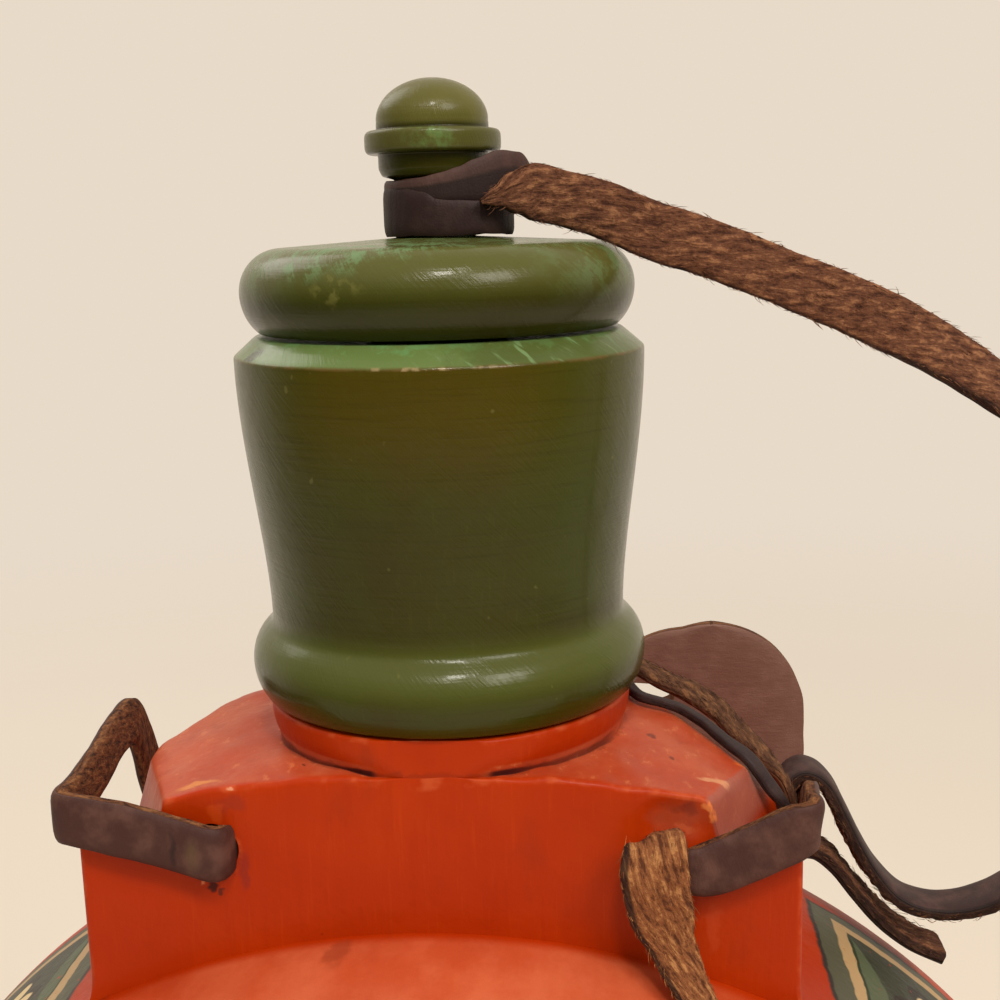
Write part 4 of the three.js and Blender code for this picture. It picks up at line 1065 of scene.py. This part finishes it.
def strap_leg(drop):
    """One half of the strap: flat behind the shoulder, then out over the lid and down, turned on edge."""
    top = body_middle + disc_radius
    return [
        (tab_x, strap_y, shoulder_top - drop + tab_round),
        (tab_x, strap_y, shoulder_top - drop),
        (tab_x, strap_y + 0.5, top - 1),
        (tab_x + 0.4, strap_y + 4.6, top - 10),
        (tab_x + 1.2, strap_out - 7.4, top - 22),
        (tab_x + 2.4, strap_out - 3, top - 36),
        (tab_x + 3.8, strap_out + 0.4, top - 54),
        (tab_x + 4.8, strap_out + 1.6, top - 74),
        (tab_x + 4.8, strap_out + 1.6, top - 94),
        (tab_x + 3, strap_out + 0.8, top - 114),
        (tab_x - 3, strap_out, top - 132),
        (tab_x - 14, strap_out - 0.6, top - 145),
    ]


strap_low = (0, strap_out - 0.8, strap_thick)
strap_left = [(-x, y, z) for x, y, z in reversed(strap_leg(tab_drop["left"]))]
strap_points = [*strap_leg(tab_drop["right"]), strap_low, *strap_left]
strap_at = np.arange(len(strap_points))
strap_from_end = np.minimum(strap_at, strap_at[::-1]) - 1
strap_turn = np.clip((strap_from_end - 2) / 5, 0, 1) * np.pi / 2
strap_side = np.sign(len(strap_points) // 2 - strap_at)
strap_lie = [strap_side * np.cos(strap_turn), np.sin(strap_turn), 0 * strap_turn, 0 * strap_turn + 1]


def rounded_ends(at, length):
    """Shares of the strap's half width at its inner and outer edge: the chord of a circle at each end, and
    inside it the chord of a second circle, further in and lower, where that is wider."""
    down = np.minimum(at, length - at) - tab_round
    outer = np.sqrt(np.clip(1 - (np.minimum(down, 0) / tab_round) ** 2, 0.0004, 1))
    second = np.clip(1 - ((down - tab_lower) / tab_round) ** 2, 0, 1)
    inner = np.where(second > 0, tab_inward / tab_round + np.sqrt(second), 0)
    return np.stack([np.maximum(inner, outer), outer], 1)


def strap_slot(x, z, wide, high):
    """A cut through the strap with round corners: a superellipse carried along Y."""
    angle = np.linspace(0, 2 * np.pi, 48, endpoint=False)
    way = np.stack([np.cos(angle), np.sin(angle)], 1)
    ring = np.sign(way) * np.abs(way) ** 0.6 * [wide / 2, high / 2]
    near, far = strap_y - slot_reach, strap_y + slot_reach
    rows = ((0, near), (1, near), (1, far), (0, far))
    grid = [np.stack([x + share * ring[:, 0], 0 * angle + y, z + share * ring[:, 1]], 1) for share, y in rows]
    return skin("slot", np.stack(grid))


strap_line, strap_lies = route(strap_points, np.stack(strap_lie, 1))
strap, strap_path = strip(
    "carrying_strap_leather", strap_line, strap_lies, strap_width, strap_thick, -1,
    seed=3, ends=rounded_ends, tips=tab_round,
)
for strap_sign, strap_end in ((1, "right"), (-1, "left")):
    slit_z = shoulder_top - slit_drop[strap_end]
    for slit_x in (tab_x - slit_half, tab_x + slit_half):
        carved(strap, strap_slot(strap_sign * slit_x, slit_z, slit_width, slit_high), "DIFFERENCE")
carved(strap, strap_slot(notch_x, shoulder_top - notch_drop, notch_width, notch_high), "DIFFERENCE")
strap_flesh = ((70, 42, 34), (120, 76, 48), (150, 100, 66))
strap.data.materials.append(leather("strap_leather", (126, 86, 72), (136, 96, 82), strap_flesh))
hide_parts("carrying_strap")
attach(strap, "canteen")

# Shoulder laces: strips of dark harness leather, grain side out. Each comes from its hole, goes round the
# corner of the shoulder, through the two slits of the strap and back into the hole from behind.
lace_width = 5.2
side_x = shoulder_half + 2 * lace_thick + lay_gap
front_y = -slab_front - lay_gap - lace_thick / 2
back_y = slab_back + lay_gap + lace_thick / 2
behind_y = strap_y + strap_thick / 2 + lay_gap + lace_thick / 2
in_hole = hole_x + lace_thick / 2 + 0.3
lanyard_y = 9.2
lanyard_drop = 14.9


def hung(rows, side=1):
    """Line and lie of a strip through rows of x, y, drop below the shoulder's top, share of a quarter turn
    from upright and share of its width; side -1 mirrors it to the left."""
    x, y, drop, turn, share = np.array(rows, float).T
    points = np.stack([side * x, y, shoulder_top - drop], 1)
    return route(points, np.stack([turn, 0 * turn, side * (1 - turn), share], 1))


def lace_end(drop, hole):
    """The end of a shoulder lace behind the strap: through both slits and up into the lace's hole."""
    return [
        (tab_x + slit_half + 2.8, back_y - 0.1, drop, 0, 1),
        (tab_x + slit_half, strap_y, drop, 0, 1),
        (tab_x + slit_half - 2.4, behind_y, drop, 0, 1),
        (tab_x, behind_y + 0.2, drop, 0, 1),
        (tab_x - slit_half + 2.4, behind_y, drop, 0, 1),
        (tab_x - slit_half + 0.6, strap_y - 0.2, drop - 0.2, 0, 0.95),
        (tab_x - slit_half - 2.2, back_y + 0.1, drop - 2, 0.4, 0.9),
        (hole_x - 0.6, back_y + 0.1, drop - 5.6, 0.9, 0.95),
        (hole_x, back_y, hole + 3.6, 1, 0.9),
        (hole_x, slab_back + 0.4, hole + 0.8, 1, 0.68),
        (hole_x, slab_back - 4, hole + 0.7, 1, 0.66),
        (hole_x, slab_back - 9, hole + 0.7, 1, 0.66),
    ]


right_hole, left_hole = hole_drop["right"], hole_drop["left"]
right_rows = [
    (in_hole, 8 - slab_front, right_hole, 0, 0.5),
    (in_hole, 1.6 - slab_front, right_hole, 0, 0.5),
    (in_hole + 0.2, -slab_front - 0.8, right_hole - 0.2, 0, 0.55),
    (in_hole + 1.4, front_y - 0.4, right_hole + 0.1, 0, 0.9),
    (in_hole + 3, front_y - 0.3, right_hole + 0.1, 0, 1),
    (shoulder_half - 6.5, front_y - 0.2, 7.3, 0, 1),
    (shoulder_half - 2.1, front_y - 0.1, 5.2, 0, 1),
    (shoulder_half - 0.1, front_y + 0.2, 4.2, 0.1, 0.95),
    (shoulder_half + 0.6, -slab_front - 0.7, 3.8, 0.14, 0.8),
    (shoulder_half + 0.9, 3 - slab_front, 4, 0.12, 0.66),
    (shoulder_half + 1.8, -10, 6, 0.06, 0.72),
    (shoulder_half + 3.2, -1.5, 10.4, 0, 0.95),
    (side_x, lanyard_y - 4, lanyard_drop - 0.6, 0, 1),
    (side_x, lanyard_y, lanyard_drop, 0, 1),
    (side_x, lanyard_y + 4, lanyard_drop + 0.4, 0, 1),
    (side_x - 0.2, slab_back - 2, slit_drop["right"] - 1.6, 0, 1),
    *lace_end(slit_drop["right"], right_hole),
]
left_rows = [
    (hole_x - 1.6, 8 - slab_front, left_hole, 0, 0.86),
    (hole_x - 1.6, 2.0 - slab_front, left_hole, 0, 0.95),
    (hole_x - 0.9, front_y - 0.2, left_hole - 0.2, 0, 1.04),
    (hole_x + 2.8, front_y - 0.3, left_hole - 1.2, 0, 1),
    (shoulder_half - 7, front_y - 0.3, 5.1, 0, 1),
    (shoulder_half - 2.2, front_y - 0.1, 4.1, 0, 1),
    (shoulder_half + 0.1, front_y + 0.2, 3.8, 0, 1),
    (shoulder_half + 1.1, -slab_front - 0.7, 3.7, 0, 1),
    (shoulder_half + 1.4, 3 - slab_front, 3.9, 0, 1),
    (shoulder_half + 2, -8, 3.8, 0, 1),
    (shoulder_half + 2.8, 1, 3.2, 0, 1),
    (shoulder_half + 3.3, 7.5, 4, 0, 1),
    (shoulder_half + 3.6, 11.2, 8, 0, 1),
    (shoulder_half + 3.6, 13.4, 13, 0, 1),
    (shoulder_half + 3.5, 16, 18.4, 0, 1),
    (shoulder_half + 3.2, slab_back - 0.4, slit_drop["left"] - 1.6, 0, 1),
    *lace_end(slit_drop["left"], left_hole),
]
lace_leather = leather(
    "lace_leather",
    (72, 42, 36),
    (98, 64, 54),
    ((64, 36, 24), (116, 70, 42), (156, 104, 62)),
    marks=[
        # Painted light where the left lace's end turns towards its hole, and painted shade in the fold beside
        # it; then a paler patch on the right lace.
        ((-22.9, front_y, shoulder_top - 6.9), (1.5, 2.0, 3.0), (100, 78, 52), 0.7),
        ((-24.9, front_y, shoulder_top - 6.2), (0.6, 2.0, 3.2), (34, 22, 20), 0.8),
        ((26.5, front_y, shoulder_top - 8.0), (1.2, 2.0, 2.0), (112, 74, 62), 0.5),
    ],
)
right_lace, _ = strip("right_lace_leather", *hung(right_rows), lace_width, lace_thick, -1, seed=1)
left_lace, _ = strip("left_lace_leather", *hung(left_rows, -1), lace_width, lace_thick, -1, seed=2)
for lace, node in ((right_lace, "right_lace"), (left_lace, "left_lace")):
    lace.data.materials.append(lace_leather)
    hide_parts(node)
    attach(lace, "canteen")

# Lace tail: the cut end of a lace, which hangs from the right hole over the roll with its rough flesh
# side out.
tail_width = 6.4
tail_x = hole_x - lace_thick / 2 - 0.3
tail_rows = [
    (tail_x, 8 - slab_front, right_hole, 0, 0.4),
    (tail_x, 0.8 - slab_front, right_hole, 0, 0.45),
    (tail_x + 0.5, front_y - 1.8, right_hole - 2.9, 0.8, 0.9),
    (tail_x + 0.4, front_y - 2.9, right_hole - 0.4, 1, 1.0),
    (tail_x + 1.0, front_y - 2.8, right_hole + 3.2, 1, 0.96),
    (tail_x + 2.2, front_y - 3, right_hole + 7, 1, 0.68),
    (tail_x + 3.9, front_y - 5.2, right_hole + 10.2, 1, 0.52),
    (tail_x + 5.7, front_y - 9.2, right_hole + 12.6, 1, 0.43),
    (tail_x + 7.2, front_y - 13.4, right_hole + 16, 1, 0.4),
    (tail_x + 8.0, front_y - 16.4, right_hole + 21, 1, 0.4),
]
lace_tail, tail_path = strip(
    "lace_tail_leather", *hung(tail_rows), tail_width, lace_thick, 1, 0.4, fuzz=900, seed=5, lumps=0.09
)
suede_grain, suede_worn = (58, 38, 36), (88, 62, 55)
tail_flesh = ((94, 52, 30), (144, 86, 50), (192, 132, 80))
lace_tail.data.materials.append(leather("tail_leather", suede_grain, suede_worn, tail_flesh, shadow_edge=2.3))
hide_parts("lace_tail")
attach(lace_tail, "canteen")

# Neck lace: a narrow rough strip tucked under the right lace; it lies over the shoulder, passes behind the
# collar and goes down into the left hole.
neck_lace_width = 2.6
neck_lace_thick = 1.4


def beside_collar(share):
    """A place across the shoulder's top, as a share of the way from the collar's foot to the end."""
    return collar_half + share * (shoulder_half - collar_half)


def tucked(rows):
    """Line and lie of a strand through rows of x, y, drop, the way of its width and the share of it."""
    rows = np.array(rows, float)
    points = np.stack([rows[:, 0], rows[:, 1], shoulder_top - rows[:, 2]], 1)
    return route(points, rows[:, 3:])


neck_lace_rows = [
    (shoulder_half + 1.2, -1.6, 17, 0, 1, 0, 1),
    (shoulder_half + 1.2, -1.6, 13, 0, 1, 0, 1),
    (shoulder_half + 1.2, -1, 10.2, 0, 1, -0.2, 1),
    (shoulder_half + 0.6, 0, 8.5, 0.1, 0.8, -0.5, 1),
    (shoulder_half - 1.3, 2, 6.3, 0.4, 0.7, 0, 1),
    (shoulder_half - 4.4, 4.5, 3.7, 0.5, 0.55, 0.25, 1),
    (shoulder_half - 5.9, 6, 2.4, 0.5, 0.55, 0.25, 1),
    (shoulder_half - 9, 8, 0.8, 0.5, 0.6, 0.25, 1),
    (shoulder_half - 12, 9, -0.3, 0.5, 0.7, 0.15, 1),
    (beside_collar(0.14), 9.8, -1.4, 0.6, 0.8, 0, 1),
    (beside_collar(0.02), 11.8, -2.1, 0.76, 0.65, 0, 1),
    (15, 15.8, -1.8, 0.7, 0.7, 0, 1),
    (8.4, 20.6, -1.5, 0.4, 0.9, 0, 1),
    (0, 22.2, -0.9, 0, 1, 0, 1),
    (-8.4, 22, 0.3, -0.2, 0.6, 0.6, 1),
    (-15, 21.5, 2, -0.3, 0, 1, 1),
    (-19.8, 20.8, 4.2, -0.5, 0, 0.8, 1),
    (-hole_x, slab_back - 1, 5.7, -1, 0, 0.2, 0.5),
    (-hole_x, slab_back - 6, 5.8, -1, 0, 0, 0.5),
]
neck_lace, _ = strip(
    "neck_lace_leather", *tucked(neck_lace_rows), neck_lace_width, neck_lace_thick, -1, 0.35,
    fuzz=1100, seed=7, lumps=0.06,
)
neck_flesh = ((74, 46, 32), (98, 64, 44), (136, 92, 60))
neck_lace.data.materials.append(leather("neck_lace_leather", (92, 60, 38), (120, 80, 50), neck_flesh))
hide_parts("neck_lace")
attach(neck_lace, "canteen")

# Under lace: a thinner dark strand below the neck lace, along the edge of the cut corner and behind the
# collar.
under_width = 1.15
under_thick = 1.0
under_rows = [
    (shoulder_half + 0.9, -7.6, 15, 0, 1, 0, 1),
    (shoulder_half + 0.9, -7.6, 11.5, 0, 1, 0, 1),
    (shoulder_half + 0.2, -7.4, 8.6, 0.3, 0.9, -0.3, 1),
    (shoulder_half - 1.9, -7.2, 5.6, 0.5, 0.8, 0, 1.5),
    (shoulder_half - 3.9, -6.8, 2.9, 0.5, 0.8, 0, 1.5),
    (shoulder_half - 6.1, -4, 2, 0.7, 0.7, 0, 1),
    (shoulder_half - 8.2, -0.3, 1.3, 0.76, 0.65, 0, 1),
    (beside_collar(0.365), 2.8, 0.8, 0.7, 0.7, 0, 1),
    (beside_collar(0.26), 3.4, 0.4, 0.5, 0.9, 0, 1),
    (beside_collar(0.12), 4.6, 0.1, 0.8, 0.6, 0, 1),
    (17.8, 11.4, -0.25, 0.8, 0.6, 0, 1),
    (13.4, 16.6, 0.5, 0.6, 0.8, 0, 1),
    (8, 20.6, 1, 0.3, 0.9, 0, 1),
    (1, 21.4, 1.8, 0, 1, 0, 1),
]
under_lace, _ = strip("under_lace_leather", *tucked(under_rows), under_width, under_thick, 1, 0.35, seed=9)
under_flesh = ((44, 30, 28), (60, 42, 38), (74, 52, 46))
under_lace.data.materials.append(leather("under_leather", (52, 38, 38), (66, 48, 46), under_flesh))
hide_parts("under_lace")
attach(under_lace, "canteen")

# Noose: the slit end of the lanyard, drawn round the groove below the finial. The two lips of the slit lie
# one above the other and part at the right, where the upper one rises and the strip comes out between them.
noose_level = groove_level + 3.1
lip_thick = 1.0
upper_lip_width = 2.3
lower_lip_width = 3.3
upper_lip = [
    (180, 4.6, 1.4, 1.0), (225, 4.6, 1.4, 1.0), (260, 4.7, 1.45, 1.05), (285, 5.0, 1.65, 1.2),
    (305, 5.5, 1.9, 1.5), (320, 6.3, 2.2, 1.75), (335, 7.6, 2.6, 2.05), (347, 8.9, 2.9, 1.8),
    (357, 9.3, 2.9, 1.0), (366, 8.3, 2.6, 1.0), (380, 6.6, 2.2, 1.0), (405, 5.3, 1.8, 1.0),
    (435, 4.7, 1.45, 1.0), (475, 4.6, 1.4, 1.0), (510, 4.6, 1.4, 1.0),
]
lower_lip = [
    (180, 4.75, -0.6, 1.42), (215, 4.75, -0.6, 1.42), (240, 4.75, -0.6, 1.42), (258, 4.85, -0.8, 1.3),
    (275, 5.2, -1.2, 1.06), (298, 6.0, -1.3, 1), (316, 7.0, -1.3, 1), (333, 7.7, -1.35, 1),
    (350, 7.7, -1.4, 1), (368, 6.8, -1.35, 1), (390, 5.7, -1.3, 1), (420, 4.9, -1.1, 1.12),
    (470, 4.75, -0.6, 1.42), (505, 4.75, -0.6, 1.42),
]


def lip(name, places, width, material, seed):
    """A closed strip through places given by angle from +X in degrees, radius, height and share of width."""
    angle, radius, level, share = np.array(places, float).T
    angle = np.radians(angle)
    points = np.stack([radius * np.cos(angle), radius * np.sin(angle), noose_level + level], 1)
    line, lies = route(points, np.stack([0 * share, 0 * share, 0 * share + 1, share], 1), closed=True)
    made, _ = strip(name, line, lies, width, lip_thick, -1, 0.25, closed=True, seed=seed)
    made.data.materials.append(material)
    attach(made, "lanyard_loop")
    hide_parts("lanyard_noose")


noose_flesh = ((50, 30, 24), (74, 48, 38), (96, 66, 52))
# The upper lip's leather is lighter, as painted light on its upper face, with painted shade over its lower
# part.
upper_lip_light_and_shade = leather("upper_lip_light_and_shade", (74, 50, 44), (92, 64, 56), noose_flesh, -0.5)
noose_leather = leather("noose_leather", (50, 32, 30), (64, 43, 39), noose_flesh)
lip("noose_upper_lip", upper_lip, upper_lip_width, upper_lip_light_and_shade, 4)
lip("noose_lower_lip", lower_lip, lower_lip_width, noose_leather, 6)

# Stopper lanyard: the rest of the strip. It leaves the noose flesh side out, bends over the bun, hangs in
# a loop beside the shoulder and is wound round the right lace, where its end hangs free.
lanyard_width = 5.5
lanyard_inner = side_x - lace_thick - lay_gap
lanyard_over = lace_width / 2 + lace_thick / 2 + 2 * lay_gap
noose_rise = noose_level - shoulder_top
lanyard_points = [
    (5.2, -5.9, noose_rise + 0.15),
    (6.6, -5.7, noose_rise + 0.55),
    (8.2, -5.2, noose_rise + 0.9),
    (10.2, -4.6, noose_rise + 1.0),
    (12.2, -4.3, noose_rise + 0.5),
    (16.7, -4.2, 52.9),
    (22, -4.5, 50.6),
    (27, -4.6, 48.9),
    (35, -4.2, 45.6),
    (side_x + 4, -3.4, 42),
    (side_x + 13, -2, 37),
    (side_x + 21.3, -0.5, 30.5),
    (side_x + 27.8, 0.8, 21.5),
    (side_x + 31.8, 1.8, 11),
    (side_x + 33, 3, 0),
    (side_x + 31, 4, -10),
    (side_x + 26.6, 5, -18.5),
    (side_x + 21, 6, -24),
    (side_x + 15.5, 7, -26),
    (side_x + 11, 7.6, -25.2),
    (side_x + 8, lanyard_y, -22.6),
    (side_x + 5.8, lanyard_y, -19),
    (side_x + 4, lanyard_y, -15.2),
    (side_x + 2.5, lanyard_y, -12.2),
    (side_x + 1, lanyard_y, lanyard_over - 0.1 - lanyard_drop),
    (side_x - 0.6, lanyard_y, lanyard_over + 0.2 - lanyard_drop),
    (lanyard_inner, lanyard_y, lanyard_over - 1.6 - lanyard_drop),
    (lanyard_inner, lanyard_y, 1.6 - lanyard_over - lanyard_drop),
    (side_x - 0.6, lanyard_y, -lanyard_over - 0.2 - lanyard_drop),
    (side_x + 1.2, lanyard_y, -lanyard_over - 0.6 - lanyard_drop),
    (side_x + 3.3, lanyard_y, -21.5),
    (side_x + 6, lanyard_y, -25),
    (side_x + 8.8, lanyard_y, -28.2),
    (side_x + 12.3, lanyard_y, -31),
    (side_x + 15.8, lanyard_y, -32.6),
]
lanyard_at = np.arange(len(lanyard_points))
lanyard_turn = np.clip((lanyard_at - 9) / 4, 0, 1) * np.pi / 2
lanyard_share = np.interp(lanyard_at, [0, 1, 2, 3], [0.1, 0.34, 0.7, 1.0])
lanyard_line, lanyard_lies = route(
    [(x, y, shoulder_top + z) for x, y, z in lanyard_points],
    np.stack([0 * lanyard_turn, np.sin(lanyard_turn), np.cos(lanyard_turn), lanyard_share], 1),
)
lanyard, lanyard_path = strip(
    "lanyard_leather", lanyard_line, lanyard_lies, lanyard_width, lace_thick, 1, 0.4,
    fuzz=3200, seed=8, lumps=0.09,
)
lanyard_flesh = ((76, 44, 30), (112, 70, 48), (158, 108, 74))
lanyard_suede = leather("lanyard_suede", suede_grain, suede_worn, lanyard_flesh, shadow_edge=2.35)
lanyard.data.materials.append(lanyard_suede)
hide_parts("stopper_lanyard")
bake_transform(lanyard)

# Studio: a round pale floor that fades into a pale surround, soft lamps above the front and behind, and the
# camera at the photograph's angle.
pale = tone(232, 218, 200)
floor_rings = [0, 100, 250, 500, 900, 1400]
floor = skin("floor", turned(np.stack([floor_rings, np.zeros(len(floor_rings))], 1), 96))
floor_made, floor_start, floor_place = finish_of("floor_pale")
floor_far = floor_place.vector("LENGTH", out="Value")
floor_shader = floor_start.node("ShaderNodeBsdfPrincipled", {}, {"Base Color": pale, "Roughness": 0.9})
floor_clear = floor_start.node("ShaderNodeBsdfTransparent", {}, {})
floor_fade = {0: floor_far.step(250, 1000), 1: floor_shader, 2: floor_clear}
floor_mix = floor_start.node("ShaderNodeMixShader", {}, floor_fade)
floor_start.node("ShaderNodeOutputMaterial", {}, {"Surface": floor_mix})
floor.data.materials.append(floor_made)

world = bpy.data.worlds.new("studio")
bpy.context.scene.world = world
world.use_nodes = True
world.node_tree.nodes.clear()
world_start = Wire(world.node_tree)
ray_kinds = ("Is Camera Ray", "Is Glossy Ray", "Is Transmission Ray")
camera_ray, glossy_ray, clear_ray = [
    world_start.node("ShaderNodeLightPath", {}, {}, kind) for kind in ray_kinds
]
_, way_y, way_z = world_start.node("ShaderNodeTexCoord", {}, {}, "Generated").parts()
behind = way_y.step(-0.3, 0.5).most(way_z.step(0.2, 0.8) * 0.8) * 0.94 + 0.06
above_level = way_z.step(-0.4, 0.7) * 0.5 + 0.24
lit = world_start.node("ShaderNodeBackground", {}, {"Color": (1.0, 0.95, 0.88, 1.0), "Strength": above_level})
strength = glossy_ray * behind + (1 - glossy_ray)
shown = world_start.node("ShaderNodeBackground", {}, {"Color": pale, "Strength": strength})
seen = camera_ray.most(glossy_ray).most(clear_ray)
both = world_start.node("ShaderNodeMixShader", {}, {0: seen, 1: lit, 2: shown})
world_start.node("ShaderNodeOutputWorld", {}, {"Surface": both})


def lamp(name, place, aim, size, power, colour):
    """A square soft lamp at a place, in metres, turned towards aim."""
    light = bpy.data.lights.new(name, "AREA")
    light.shape, light.size, light.energy, light.color = "SQUARE", size, power, colour
    made = bpy.data.objects.new(name, light)
    made.location = place
    made.rotation_mode = "QUATERNION"
    made.rotation_quaternion = (Vector(aim) - Vector(place)).to_track_quat("-Z", "Y")
    bpy.context.scene.collection.objects.link(made)


lamp("key_lamp", (0.1, -0.55, 0.95), (0, 0, 0.2), 0.13, 2.7, (1.0, 0.94, 0.86))
lamp("side_lamp", (0.45, -0.5, 0.75), (0, 0, 0.2), 0.3, 2.9, (1.0, 0.94, 0.86))
lamp("fill_lamp", (-0.7, 0.5, 0.9), (0, 0, 0.15), 0.6, 2.6, (1.0, 0.97, 0.93))

camera_data = bpy.data.cameras.new("photo_camera")
camera_data.sensor_width = 36.0
camera_data.lens = 50.53
camera_data.clip_start, camera_data.clip_end = 0.01, 20.0
camera = bpy.data.objects.new("photo_camera", camera_data)
camera_place = (0.016927, -0.144551, 0.233827)
camera_turn, camera_dip, camera_roll = 4.4000, 11.1727, -1.5470  # degrees
camera.matrix_world = (
    Matrix.Translation(camera_place)
    @ Matrix.Rotation(np.radians(camera_turn), 4, "Z")
    @ Matrix.Rotation(np.radians(90 - camera_dip), 4, "X")
    @ Matrix.Rotation(np.radians(camera_roll), 4, "Z")
)
bpy.context.scene.collection.objects.link(camera)
bpy.context.scene.camera = camera
bpy.context.scene.view_settings.view_transform = "Standard"
